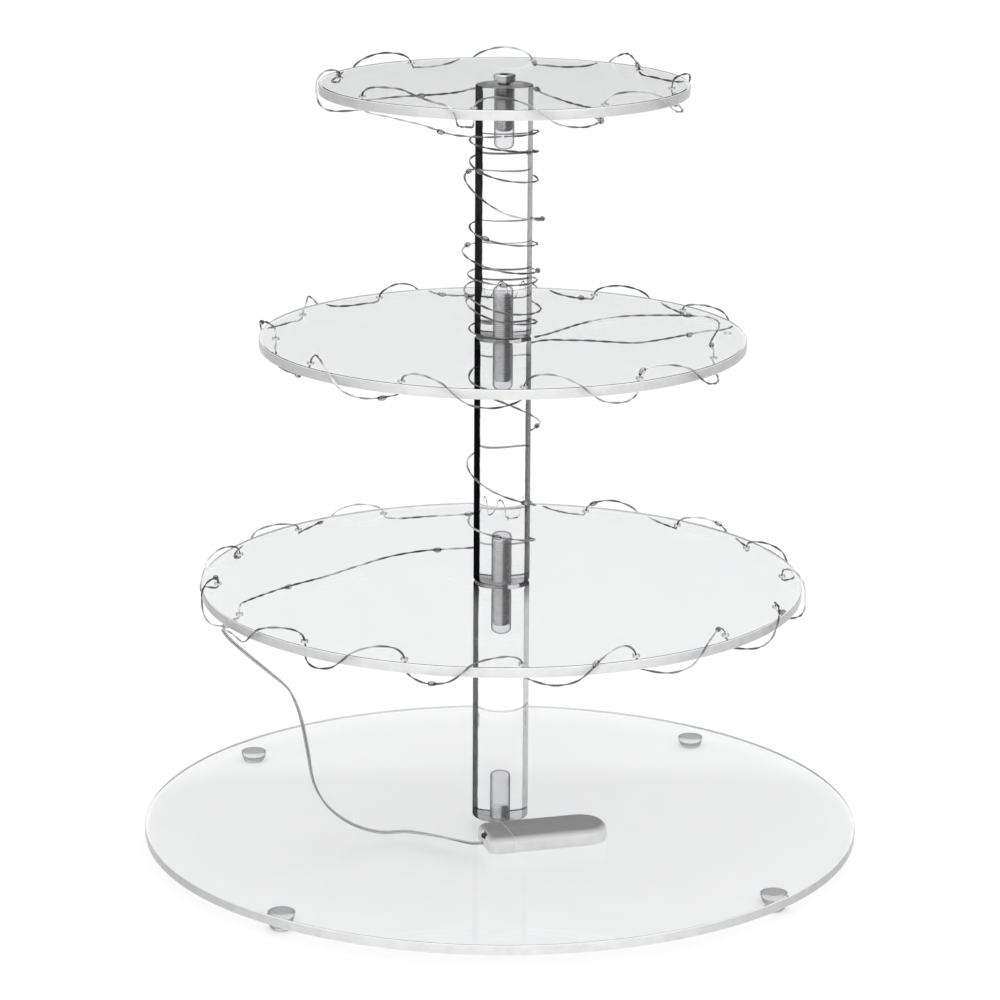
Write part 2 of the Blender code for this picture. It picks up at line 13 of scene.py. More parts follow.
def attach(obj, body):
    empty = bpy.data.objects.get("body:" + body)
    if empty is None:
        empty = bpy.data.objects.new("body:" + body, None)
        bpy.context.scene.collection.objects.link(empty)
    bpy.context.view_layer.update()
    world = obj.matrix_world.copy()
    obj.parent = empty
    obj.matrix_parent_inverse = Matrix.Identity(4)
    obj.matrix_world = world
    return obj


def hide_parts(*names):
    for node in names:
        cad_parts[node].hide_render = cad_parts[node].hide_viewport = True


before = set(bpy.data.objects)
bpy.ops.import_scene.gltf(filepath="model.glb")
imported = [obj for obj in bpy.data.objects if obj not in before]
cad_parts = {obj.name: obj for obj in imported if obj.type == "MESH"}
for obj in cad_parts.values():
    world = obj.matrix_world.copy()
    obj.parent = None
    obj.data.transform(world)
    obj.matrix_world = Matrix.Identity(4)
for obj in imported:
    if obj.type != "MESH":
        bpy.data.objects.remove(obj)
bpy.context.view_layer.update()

# Dimensions shared with part.py, in metres.
PITCH = 0.104
DISC_THICKNESS = 0.004
BASE_DISC_BOTTOM = 0.005
DISC_RADII = (0.150, 0.125, 0.100, 0.075)
ROD_RADIUS = 0.0117
GAP = 0.0003
TAPPED_HOLE_RADIUS = 0.0028
THREAD_RADIUS = 0.0025
THREAD_PITCH = 0.0008
STUD_LENGTH = 0.040
STUD_HOLE_DEPTH = 0.0215
TOP_SCREW_HOLE_DEPTH = 0.0224
BASE_SCREW_HOLE_DEPTH = 0.021
SCREW_LENGTH = {"top_screw": 0.0195, "base_screw": 0.0098}
SCREW_HEAD = (0.0045, 0.003)
SOCKET_WIDTH = 0.004
SOCKET_DEPTH = 0.0018
FOOT_HEIGHT = BASE_DISC_BOTTOM - GAP
FOOT_CIRCLE = 0.140
FOOT_FIRST_ANGLE = 52.0
LACE_HOLE_RADIUS = 0.0015
LACE_MARGIN = 0.007
LACE_HOLES = {1: (16, 206.5), 2: (12, 5.0), 3: (8, 215.0)}
WIRE_DIAMETER = 0.0009
LEAD_DIAMETER = 0.0015
WINDING_RADIUS = 0.0139
BOX_PLACE = (0.0185, -0.033)
BOX_TURN = 16.5
BOX_LENGTH = 0.053
BOX_WIDTH = 0.0226
BOX_HEIGHT = 0.007
BOX_RIGHT_CORNER = 0.0105
BOX_LEFT_CORNER = 0.004
BOX_FLOOR = 0.0012
BLOCK_END = -0.0163
COVER_START = -0.0160
COVER_FOOT = 0.0015
COVER_ROOF = 0.0011
COVER_WALL = 0.0009
CELL_HEIGHT = 0.0032
CELL_BOTTOM = 0.0020
CELL_PLACES = {"coin_cell_left": -0.0053, "coin_cell_right": 0.0152}

DISC_NAMES = ("base_disc", "lower_tier_disc", "middle_tier_disc", "top_tier_disc")
ROD_NAMES = ("lower_rod", "middle_rod", "upper_rod")


def disc_bottom(tier):
    return BASE_DISC_BOTTOM + PITCH * tier


def disc_top(tier):
    return disc_bottom(tier) + DISC_THICKNESS


# ---- camera
CAMERA_PLACE = (0.0, -1.467, 0.534)
CAMERA_TILT = 75.22
CAMERA_YAW = 0.031
CAMERA_ROLL = 0.35
CAMERA_LENS = 131.6
SENSOR_WIDTH = 36.0

camera_data = bpy.data.cameras.new("camera")
camera_data.lens = CAMERA_LENS
camera_data.sensor_width = SENSOR_WIDTH
camera_data.clip_start = 0.05
camera_data.clip_end = 50.0
camera = bpy.data.objects.new("camera", camera_data)
bpy.context.scene.collection.objects.link(camera)
camera.matrix_world = (
    Matrix.Translation(CAMERA_PLACE)
    @ Matrix.Rotation(math.radians(CAMERA_YAW), 4, "Z")
    @ Matrix.Rotation(math.radians(CAMERA_TILT), 4, "X")
    @ Matrix.Rotation(math.radians(CAMERA_ROLL), 4, "Z")
)
bpy.context.scene.camera = camera


# ---- materials
MIRROR_SHARE = 0.4
ACRYLIC_IOR = 1.49
RESIN_IOR = 1.45
# Where the two ends of a colour ramp over a noise lie.
NOISE_LOW, NOISE_HIGH = 0.3, 0.7


class Graph:
    """The node tree of a material or a world, built node by node."""

    def __init__(self, name, library=bpy.data.materials):
        self.owner = library.new(name)
        self.owner.use_nodes = True
        self.tree = self.owner.node_tree
        self.tree.nodes.clear()

    def add(self, kind, inputs=None, **settings):
        node = self.tree.nodes.new("ShaderNode" + kind)
        for key, value in settings.items():
            setattr(node, key, value)
        for key, value in (inputs or {}).items():
            if isinstance(value, bpy.types.NodeSocket):
                self.tree.links.new(value, node.inputs[key])
            else:
                node.inputs[key].default_value = value
        return node

    def math(self, operation, first, second=0.0, third=0.0):
        inputs = {0: first, 1: second, 2: third}
        return self.add("Math", inputs, operation=operation).outputs[0]

    def ramp(self, factor, stops):
        """A colour ramp; each stop is a place and a grey or a colour."""
        node = self.add("ValToRGB", {"Fac": factor})
        elements = node.color_ramp.elements
        while len(elements) < len(stops):
            elements.new(1.0)
        for element, (place, colour) in zip(elements, stops):
            element.position = place
            values = colour if isinstance(colour, tuple) else (colour,) * 3
            element.color = (*values, 1.0)
        return node.outputs["Color"]

    def between(self, noise, low, high):
        """A colour or a number that a noise moves from low to high."""
        return self.ramp(noise, [(NOISE_LOW, low), (NOISE_HIGH, high)])

    def times(self, first, second):
        """One colour multiplied by another."""
        inputs = {0: 1.0, 6: first, 7: second}
        return self.add("Mix", inputs, data_type="RGBA", blend_type="MULTIPLY").outputs[2]

    def axis(self, vector, name):
        return self.add("SeparateXYZ", {"Vector": vector}).outputs[name]

    def place(self):
        return self.add("TexCoord").outputs["Object"]

    def level(self):
        """The height as a share of the top disc's upper face."""
        return self.math("DIVIDE", self.axis(self.place(), "Z"), disc_top(3))

    def normal(self, name):
        """One world coordinate of the surface's normal, from -1 to 1."""
        return self.axis(self.add("NewGeometry").outputs["Normal"], name)

    def noise(self, scale, detail=3.0):
        settings = {"Vector": self.place(), "Scale": scale, "Detail": detail}
        return self.add("TexNoise", settings).outputs["Fac"]

    def bump(self, height, strength, distance):
        settings = {"Height": height, "Strength": strength, "Distance": distance}
        return self.add("Bump", settings).outputs["Normal"]

    def principled(self, **inputs):
        named = {key.replace("_", " "): value for key, value in inputs.items()}
        return self.add("BsdfPrincipled", named).outputs["BSDF"]

    def simple(self, kind, **inputs):
        return self.add("Bsdf" + kind, inputs).outputs["BSDF"]

    def mix(self, factor, first, second):
        return self.add("MixShader", {0: factor, 1: first, 2: second}).outputs["Shader"]

    def facing(self):
        """0 where the surface faces the viewer and 1 at its outline."""
        return self.add("LayerWeight", {"Blend": 0.5}).outputs["Facing"]

    def finish(self, shader):
        self.add("OutputMaterial", {"Surface": shader})
        return self.owner

    def finish_clear(self, shader, tint):
        """Lets lamp and sky light through a clear piece, so that it casts only a faint shadow."""
        path = self.add("LightPath").outputs
        clear = self.simple("Transparent", Color=(tint, tint, tint, 1.0))
        soft = self.math("MAXIMUM", path["Is Shadow Ray"], path["Is Diffuse Ray"])
        return self.finish(self.mix(soft, shader, clear))


def acrylic():
    """Polished clear acrylic sheet, very slightly wavy. Its mirror image of the room is weaker than
    plain glass gives, as in the photo."""
    graph = Graph("clear_acrylic_sheet")
    normal = graph.bump(graph.noise(9.0, detail=1.0), 0.02, 0.002)
    tint = graph.between(graph.noise(60.0), (0.981, 0.983, 0.987), (0.989, 0.991, 0.995))
    through = graph.simple("Refraction", Color=tint, Roughness=0.0, IOR=ACRYLIC_IOR, Normal=normal)
    mirror = graph.simple("Glossy", Roughness=0.0, Normal=normal)
    share = graph.add("Fresnel", {"IOR": ACRYLIC_IOR, "Normal": normal}).outputs[0]
    weak = graph.math("MULTIPLY", share, MIRROR_SHARE)
    return graph.finish_clear(graph.mix(weak, through, mirror), 0.97)


def acrylic_rod():
    """The post's acrylic, with painted shade: a dark shader is mixed in toward its outline, nearly
    black in a band on its -X side and grey in a narrower band on its +X side, in place of the room's
    darker side seen in the rod."""
    graph = Graph("clear_acrylic_rod")
    shader = graph.principled(
        Base_Color=graph.between(graph.noise(60.0), 0.985, 0.998),
        Roughness=0.0,
        IOR=ACRYLIC_IOR,
        Transmission_Weight=1.0,
        Normal=graph.bump(graph.noise(25.0, detail=1.0), 0.03, 0.001),
    )
    level = graph.level()
    uneven = graph.math("MULTIPLY_ADD", graph.noise(220.0, detail=4.0), 0.05, graph.facing())
    # The left band is wider on the middle rod, and wider again on the upper one.
    wider = graph.ramp(level, [(0.31, 0.0), (0.34, 0.05), (0.72, 0.05), (0.74, 0.11)])
    left = graph.ramp(graph.math("ADD", uneven, wider), [(0.455, 0.0), (0.485, 1.0)])
    right = graph.ramp(uneven, [(0.455, 0.0), (0.475, 1.0), (0.53, 0.97), (0.70, 0.88), (0.92, 0.84)])
    # How dark the two bands are, from the lower rod to the upper one.
    left_dark = graph.ramp(level, [(0.31, 0.86), (0.34, 1.0), (0.66, 1.0), (0.69, 0.985)])
    right_dark = graph.ramp(level, [(0.31, 0.42), (0.34, 0.88), (0.63, 0.88), (0.66, 0.66)])
    side = graph.math("MULTIPLY_ADD", graph.normal("X"), 0.5, 0.5)
    sides = {
        0: graph.ramp(side, [(0.42, 0.0), (0.58, 1.0)]),
        2: graph.math("MULTIPLY", left, left_dark),
        3: graph.math("MULTIPLY", right, right_dark),
    }
    weight = graph.add("Mix", sides, data_type="FLOAT").outputs[0]
    dark = graph.simple("Diffuse", Color=(0.006, 0.006, 0.007, 1.0))
    return graph.finish_clear(graph.mix(weight, shader, dark), 0.93)


def frosted():
    """A rod's sawn end face: satin grey where it meets a disc."""
    graph = Graph("frosted_acrylic")
    grain = graph.noise(1500.0)
    satin = graph.principled(
        Base_Color=graph.between(graph.noise(300.0), 0.20, 0.36),
        Roughness=graph.between(grain, 0.35, 0.55),
        Normal=graph.bump(grain, 0.15, 0.0002),
    )
    clear = graph.simple("Transparent", Color=(0.9, 0.9, 0.91, 1.0))
    side = graph.math("DIVIDE", graph.axis(graph.place(), "X"), 2 * ROD_RADIUS)
    # The sawn faces are cloudier on their -X side, and the topmost one is cloudy all over.
    cleared = graph.ramp(graph.math("ADD", side, 0.5), [(0.35, 0.82), (0.62, 0.30)])
    upper = graph.ramp(graph.level(), [(0.90, 0.0), (0.93, 0.78)])
    cloud = graph.math("MAXIMUM", cleared, upper)
    return graph.finish_clear(graph.mix(cloud, clear, satin), 0.85)


def hole_wall():
    """The wall of a tapped hole: clear where it is seen square on, with a painted shade that turns it
    dark along its outline.
    """
    graph = Graph("tapped_acrylic")
    grain = graph.noise(900.0)
    dark = graph.principled(
        Base_Color=graph.between(grain, 0.03, 0.09),
        Roughness=0.35,
        Normal=graph.bump(grain, 0.2, 0.0002),
    )
    clear = graph.simple("Transparent", Color=(0.90, 0.90, 0.91, 1.0))
    outline = graph.ramp(graph.facing(), [(0.30, 0.03), (0.52, 0.22), (0.68, 0.95)])
    return graph.finish_clear(graph.mix(outline, clear, dark), 0.85)


def edge_acrylic():
    """A disc's cut edge: cloudy and light grey, with a painted shade that makes it darker toward the
    stand's two sides.
    """
    graph = Graph("acrylic_edge")
    streak = graph.noise(180.0)
    sideways = graph.math("ABSOLUTE", graph.normal("X"))
    shade = graph.ramp(sideways, [(0.0, 0.97), (0.35, 0.93), (0.7, 0.66), (0.95, 0.46)])
    cloudy = graph.principled(
        Base_Color=graph.times(shade, graph.between(streak, 0.93, 1.03)),
        Roughness=graph.between(graph.noise(40.0), 0.20, 0.35),
        Normal=graph.bump(streak, 0.03, 0.0004),
    )
    return graph.finish_clear(cloudy, 0.93)


EVEN_ROOM = ((0.0, 1.0), (1.0, 1.0))


def metal(name, low, high, rough, scale=400.0, room=EVEN_ROOM, mouth=(), shine=1.0):
    """Metal with a fine grain; shine is how much of it is a mirror and not a dull film. room scales
    its colour from its -X side to its +X side as painted light and shade, in place of a room that
    lights it unequally, and mouth scales it by height as painted shade."""
    graph = Graph(name)
    grain = graph.noise(scale)
    shade = graph.ramp(graph.math("MULTIPLY_ADD", graph.normal("X"), 0.5, 0.5), room)
    if mouth:
        shade = graph.math("MULTIPLY", shade, graph.ramp(graph.level(), mouth))
    shader = graph.principled(
        Base_Color=graph.times(graph.between(grain, low, high), shade),
        Metallic=shine,
        Roughness=graph.between(graph.noise(scale / 3), rough * 0.7, rough * 1.3),
        Normal=graph.bump(grain, 0.08, 0.0001),
    )
    return graph.finish(shader)


def clear_cover(name, middle, outline, rough, place):
    """A clear soft skin seen against white, with painted light and shade: its colour is pale in the
    middle and dark along its outline.
    """
    graph = Graph(name)
    clouded = graph.noise(500.0)
    shader = graph.principled(
        Base_Color=graph.ramp(graph.facing(), [(place, middle), (place + 0.3, outline)]),
        Roughness=graph.between(clouded, rough * 0.7, rough * 1.3),
        IOR=1.5,
        Normal=graph.bump(clouded, 0.1, 0.0001),
    )
    return graph.finish(shader)


def wire_metal():
    """Thin bare-looking wire: grey, with long brighter and darker stretches, painted highlights in its
    colour in place of glints.
    """
    graph = Graph("silvery_wire")
    painted_glints = graph.noise(45.0, detail=2.0)
    fine = graph.noise(1200.0)
    shader = graph.principled(
        Base_Color=graph.ramp(painted_glints, [(0.36, 0.08), (0.50, 0.24), (0.62, 0.75)]),
        Metallic=0.85,
        Roughness=graph.between(fine, 0.28, 0.45),
        Normal=graph.bump(fine, 0.1, 0.00005),
    )
    return graph.finish(shader)


def resin():
    """The clear drop of resin over an LED, with a painted shade that darkens it along its outline."""
    graph = Graph("led_resin")
    clear = graph.principled(
        Base_Color=graph.between(graph.noise(900.0), 0.92, 0.99),
        Roughness=0.05,
        IOR=RESIN_IOR,
        Transmission_Weight=1.0,
    )
    dark = graph.principled(Base_Color=(0.10, 0.10, 0.10, 1.0), Roughness=0.2)
    weight = graph.ramp(graph.facing(), [(0.40, 0.0), (0.75, 0.75)])
    return graph.finish_clear(graph.mix(weight, clear, dark), 0.8)


def plastic(name, top, side, rough):
    """Moulded plastic with a fine texture; the flat top is painted darker than the sides, as painted
    shade.
    """
    graph = Graph(name)
    shade = graph.ramp(graph.normal("Z"), [(0.30, side), (0.97, top)])
    speckle = graph.between(graph.noise(260.0, detail=5.0), 0.94, 1.04)
    grain = graph.noise(2500.0)
    shader = graph.principled(
        Base_Color=graph.times(shade, speckle),
        Roughness=graph.between(grain, rough * 0.8, rough * 1.2),
        Normal=graph.bump(grain, 0.12, 0.0001),
    )
    return graph.finish(shader)


def rubber():
    """The feet's clear soft rubber, with a painted shade that darkens it along its outline."""
    graph = Graph("clear_rubber")
    cloud = graph.noise(400.0)
    clear = graph.principled(
        Base_Color=graph.between(cloud, 0.80, 0.90),
        Roughness=graph.between(cloud, 0.12, 0.25),
        IOR=RESIN_IOR,
        Transmission_Weight=0.9,
        Normal=graph.bump(cloud, 0.08, 0.0003),
    )
    dark = graph.principled(Base_Color=(0.22, 0.22, 0.225, 1.0), Roughness=0.4)
    weight = graph.ramp(graph.facing(), [(0.45, 0.0), (0.8, 0.9)])
    return graph.finish_clear(graph.mix(weight, clear, dark), 0.8)


def board_green():
    """Circuit board: dark green lacquer with paler traces beneath it."""
    graph = Graph("circuit_board")
    trace = graph.noise(700.0, detail=0.0)
    shader = graph.principled(
        Base_Color=graph.ramp(trace, [(0.48, (0.010, 0.075, 0.030)), (0.52, (0.025, 0.14, 0.06))]),
        Roughness=graph.between(graph.noise(90.0), 0.35, 0.5),
        Normal=graph.bump(trace, 0.2, 0.0001),
    )
    return graph.finish(shader)


def phosphor():
    """The pale top of an LED that is off."""
    graph = Graph("led_chip")
    colour = graph.between(graph.noise(2000.0), (0.46, 0.45, 0.41), (0.62, 0.61, 0.55))
    return graph.finish(graph.principled(Base_Color=colour, Roughness=0.4))


def floor_white():
    graph = Graph("pale_floor")
    shade = graph.between(graph.noise(1.5), 0.90, 0.91)
    return graph.finish(graph.principled(Base_Color=shade, Roughness=0.9))


ACRYLIC = acrylic()
EDGE_ACRYLIC = edge_acrylic()
ROD_ACRYLIC = acrylic_rod()
FROSTED = frosted()
TAPPED = hole_wall()
# Painted light and shade for the steel: lighter on its -X side and darker on its +X side, as an
# unevenly lit room would make it.
PAINTED_ROOM_LIGHT = ((0.0, 0.55), (0.2, 1.0), (0.5, 0.9), (0.62, 0.22), (0.85, 0.14), (1.0, 0.4))
# The screw's shank is in deep shade where it enters the rod.
SHANK_SHADE = ((0.966, 1.0), (0.972, 0.10), (0.990, 0.10), (0.996, 0.9))
STEEL = metal("steel", 0.92, 1.0, 0.30, room=PAINTED_ROOM_LIGHT, shine=0.12)
SCREW_STEEL = metal("screw_steel", 0.70, 0.95, 0.24, room=PAINTED_ROOM_LIGHT, mouth=SHANK_SHADE, shine=0.6)
DARK_STEEL = metal("shaded_steel", 0.10, 0.24, 0.3)
NICKEL = metal("nickel", 0.62, 0.74, 0.25)
CELL_STEEL = metal("cell_steel", 0.60, 0.72, 0.18, 150.0)
WIRE = wire_metal()
LEAD = clear_cover("clear_lead", 0.60, 0.015, 0.3, 0.20)
RUBBER = rubber()
# Painted shade: the case's flat top is coloured much darker than its sides.
CASE = plastic("grey_case_plastic", 0.21, 0.86, 0.42)
KNOB = plastic("black_switch_plastic", 0.012, 0.02, 0.5)
BOARD = board_green()
RESIN = resin()
CHIP = phosphor()
SOLDER = metal("solder", 0.05, 0.14, 0.35, 1500.0)
GASKET = plastic("cell_gasket", 0.05, 0.05, 0.5)


# ---- mesh helpers
def finish_piece(name, shape, materials, body="stand", nodes=(), sharp=32.0):
    """An object from a bmesh, riding on a body in place of CAD nodes."""
    mesh = bpy.data.meshes.new(name)
    shape.to_mesh(mesh)
    shape.free()
    piece = bpy.data.objects.new(name, mesh)
    bpy.context.scene.collection.objects.link(piece)
    for material in materials:
        mesh.materials.append(material)
    if body:
        dress(piece, body, nodes, sharp)
    return piece


def dress(piece, body, nodes, sharp=32.0):
    piece.data.shade_smooth()
    piece.data.set_sharp_from_angle(angle=math.radians(sharp))
    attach(piece, body)
    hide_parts(*nodes)


def revolve(shape, profile, sides, centre=(0.0, 0.0)):
    """Turns a profile of (radius, height, material) about Z; a radius of 0 closes the surface.
    The profile runs from top to bottom down the outer side."""
    rings = []
    for radius, height, _ in profile:
        if radius == 0.0:
            rings.append([shape.verts.new((centre[0], centre[1], height))])
            continue
        ring = []
        for step in range(sides):
            angle = math.tau * step / sides
            x = centre[0] + radius * math.cos(angle)
            y = centre[1] + radius * math.sin(angle)
            ring.append(shape.verts.new((x, y, height)))
        rings.append(ring)
    for upper, lower, (_, _, material) in zip(rings, rings[1:], profile):
        skin(shape, upper, lower, material)
    return rings


def skin(shape, upper, lower, material=0):
    """Faces between two rings of points, one of which may be a single point."""
    count = max(len(upper), len(lower))
    for step in range(count):
        after = (step + 1) % count
        if len(upper) == 1:
            corners = (upper[0], lower[step], lower[after])
        elif len(lower) == 1:
            corners = (upper[step], lower[0], upper[after])
        else:
            corners = (upper[step], lower[step], lower[after], upper[after])
        shape.faces.new(corners).material_index = material


def face_outward(shape):
    bmesh.ops.recalc_face_normals(shape, faces=shape.faces)


def join_rings(shape, rings):
    """Faces along a row of rings."""
    for lower, upper in zip(rings, rings[1:]):
        skin(shape, upper, lower)


def close_ends(shape, rings):
    shape.faces.new(rings[0])
    shape.faces.new(rings[-1])


def cut(piece, cutter, operation="DIFFERENCE"):
    """Applies one Boolean and removes its cutter."""
    modifier = piece.modifiers.new("cut", "BOOLEAN")
    modifier.operation = operation
    modifier.solver = "EXACT"
    modifier.object = cutter
    bpy.context.view_layer.update()
    graph = bpy.context.evaluated_depsgraph_get()
    mesh = bpy.data.meshes.new_from_object(piece.evaluated_get(graph))
    piece.modifiers.clear()
    old = piece.data
    piece.data = mesh
    bpy.data.meshes.remove(old)
    bpy.data.objects.remove(cutter)
    return piece


def cuboid(shape, low, high):
    """Adds a box between two corners to a bmesh, and gives its points."""
    low, high = Vector(low), Vector(high)
    verts = bmesh.ops.create_cube(shape, size=1.0)["verts"]
    bmesh.ops.scale(shape, vec=high - low, verts=verts)
    bmesh.ops.translate(shape, vec=(low + high) / 2, verts=verts)
    return verts


def block(low, high):
    """A closed box between two corners, as a cutter."""
    shape = bmesh.new()
    cuboid(shape, low, high)
    return finish_piece("block", shape, [], body=None)


def soft_block(shape, low, high, edge, segments=3):
    """Adds a box with rounded edges to a bmesh."""
    edges = {side for vert in cuboid(shape, low, high) for side in vert.link_edges}
    bmesh.ops.bevel(
        shape, geom=list(edges), offset=edge, segments=segments, profile=0.5, affect="EDGES"
    )


def arc(radius, steps):
    """Offsets along a rounded edge, as (distance inward, distance down)."""
    points = []
    for step in range(steps + 1):
        angle = math.pi / 2 * step / steps
        points.append((radius * (1 - math.sin(angle)), radius * (1 - math.cos(angle))))
    return points


def polar(radius, degrees, height):
    angle = math.radians(degrees)
    return Vector((radius * math.cos(angle), radius * math.sin(angle), height))


def hole_angle(tier, index):
    count, first = LACE_HOLES[tier]
    return first + 360.0 / count * index


# ---- discs
DISC_SIDES = 240
HOLE_SIDES = 20
DISC_EDGE = 0.0004
EDGE_STEPS = 3
FACE_ID, CUT_ID, TAP_ID = 0, 1, 2
# Flat rings beside an edge, which keep its shading apart from the rest of the face.
HOLE_LIP = 0.0006
EDGE_LAND = 0.0015
MERGE = 1e-7


def disc_profile(radius, top, bottom):
    """Hole wall, top face, rounded corner, edge, rounded corner and bottom face."""
    profile = [(TAPPED_HOLE_RADIUS, bottom, TAP_ID), (TAPPED_HOLE_RADIUS, top, FACE_ID)]
    profile.append((TAPPED_HOLE_RADIUS + HOLE_LIP, top, FACE_ID))
    profile.append((radius - EDGE_LAND, top, FACE_ID))
    corner = arc(DISC_EDGE, EDGE_STEPS)
    profile += [(radius - inward, top - down, CUT_ID) for inward, down in corner]
    profile += [(radius - inward, bottom + down, CUT_ID) for inward, down in reversed(corner)]
    profile.append((radius - EDGE_LAND, bottom, FACE_ID))
    profile.append((TAPPED_HOLE_RADIUS + HOLE_LIP, bottom, FACE_ID))
    profile.append((TAPPED_HOLE_RADIUS, bottom, FACE_ID))
    return profile


for tier, (name, radius) in enumerate(zip(DISC_NAMES, DISC_RADII)):
    top, bottom = disc_top(tier), disc_bottom(tier)
    shape = bmesh.new()
    revolve(shape, disc_profile(radius, top, bottom), DISC_SIDES)
    bmesh.ops.remove_doubles(shape, verts=shape.verts, dist=MERGE)
    face_outward(shape)
    disc = finish_piece(name + "_clear", shape, [ACRYLIC, EDGE_ACRYLIC, TAPPED], body=None)
    if tier in LACE_HOLES:
        shape = bmesh.new()
        middle = (top + bottom) / 2
        for index in range(LACE_HOLES[tier][0]):
            place = polar(radius - LACE_MARGIN, hole_angle(tier, index), middle)
            made = bmesh.ops.create_cone(
                shape,
                cap_ends=True,
                segments=HOLE_SIDES,
                radius1=LACE_HOLE_RADIUS,
                radius2=LACE_HOLE_RADIUS,
                depth=2 * DISC_THICKNESS,
            )
            bmesh.ops.translate(shape, vec=place, verts=made["verts"])
        for face in shape.faces:
            face.material_index = CUT_ID
        drill = finish_piece("drill", shape, [ACRYLIC, EDGE_ACRYLIC, TAPPED], body=None)
        cut(disc, drill)
    dress(disc, "stand", [name])


# ---- post rods
ROD_SIDES = 96
ROD_EDGE = 0.0005
END_LAND = 0.0012
SIDE_ID, END_ID = 0, 1
HOLE_DEPTHS = (
    (BASE_SCREW_HOLE_DEPTH, STUD_HOLE_DEPTH), (STUD_HOLE_DEPTH, STUD_HOLE_DEPTH),
    (STUD_HOLE_DEPTH, TOP_SCREW_HOLE_DEPTH),
)
GROOVE = 0.00015
ROUND_END = 0.0024
ROUND_END_STEPS = 6


def tapped_hole(mouth, depth, way):
    """The wall of a blind tapped hole from its mouth inward, as a (radius, height) list; way is the
    direction inward, -1 or 1. Its grooves have the thread's pitch and its end is round."""
    points = [(TAPPED_HOLE_RADIUS, mouth)]
    length = depth - ROUND_END
    for turn in range(int(length / THREAD_PITCH)):
        start = mouth + way * THREAD_PITCH * turn
        points.append((TAPPED_HOLE_RADIUS, start + way * 0.1 * THREAD_PITCH))
        points.append((TAPPED_HOLE_RADIUS - GROOVE, start + way * 0.5 * THREAD_PITCH))
        points.append((TAPPED_HOLE_RADIUS, start + way * 0.9 * THREAD_PITCH))
    for step in range(ROUND_END_STEPS):
        angle = math.pi / 2 * step / ROUND_END_STEPS
        radius = (TAPPED_HOLE_RADIUS - GROOVE / 2) * math.cos(angle)
        points.append((radius, mouth + way * (length + ROUND_END * math.sin(angle))))
    points.append((0.0, mouth + way * depth))
    return points


for tier, (name, (low_depth, high_depth)) in enumerate(zip(ROD_NAMES, HOLE_DEPTHS)):
    low = disc_top(tier) + GAP
    high = disc_bottom(tier + 1) - GAP
    corner = arc(ROD_EDGE, EDGE_STEPS)
    profile = [(r, z, TAP_ID) for r, z in reversed(tapped_hole(high, high_depth, -1))]
    profile[-1] = (*profile[-1][:2], END_ID)
    profile.append((ROD_RADIUS - END_LAND, high, END_ID))
    profile += [(ROD_RADIUS - inward, high - down, SIDE_ID) for inward, down in corner]
    profile.append((ROD_RADIUS, high - EDGE_LAND, SIDE_ID))
    profile.append((ROD_RADIUS, low + EDGE_LAND, SIDE_ID))
    profile += [(ROD_RADIUS - inward, low + down, SIDE_ID) for inward, down in reversed(corner)]
    profile.append((ROD_RADIUS - END_LAND, low, END_ID))
    profile += [(r, z, TAP_ID) for r, z in tapped_hole(low, low_depth, 1)]
    shape = bmesh.new()
    revolve(shape, profile, ROD_SIDES)
    bmesh.ops.remove_doubles(shape, verts=shape.verts, dist=MERGE)
    face_outward(shape)
    finish_piece(
        name + "_clear", shape, [ROD_ACRYLIC, FROSTED, TAPPED], "stand", [name]
    )


# ---- studs and screws
THREAD_SIDES = 28
THREAD_SAMPLES = 6
THREAD_DEPTH = 0.0003
TIP_LENGTH = 0.001
TIP_TAPER = 0.0007
NO_TIP = 1.0


def threaded(shape, low, high, capped=(True, True)):
    """A helical thread between two heights, tapering away at the capped ends."""
    rows = int(round((high - low) / THREAD_PITCH * THREAD_SAMPLES))
    rings = []
    for row in range(rows + 1):
        height = low + (high - low) * row / rows
        room = min(height - low if capped[0] else NO_TIP, high - height if capped[1] else NO_TIP)
        taper = TIP_TAPER * max(0.0, 1.0 - room / TIP_LENGTH)
        ring = []
        for step in range(THREAD_SIDES):
            turn = (height / THREAD_PITCH - step / THREAD_SIDES) % 1.0
            ridge = 1.0 - abs(2.0 * turn - 1.0)
            radius = THREAD_RADIUS - THREAD_DEPTH * (1.0 - min(1.0, 1.3 * ridge)) - taper
            angle = math.tau * step / THREAD_SIDES
            spot = (radius * math.cos(angle), radius * math.sin(angle), height)
            ring.append(shape.verts.new(spot))
        rings.append(ring)
    join_rings(shape, rings)
    return rings


for name, tier in (("lower_stud", 1), ("upper_stud", 2)):
    middle = (disc_top(tier) + disc_bottom(tier)) / 2
    shape = bmesh.new()
    rings = threaded(shape, middle - STUD_LENGTH / 2, middle + STUD_LENGTH / 2)
    close_ends(shape, rings)
    face_outward(shape)
    finish_piece(name + "_threaded", shape, [STEEL], "stand", [name], sharp=60.0)


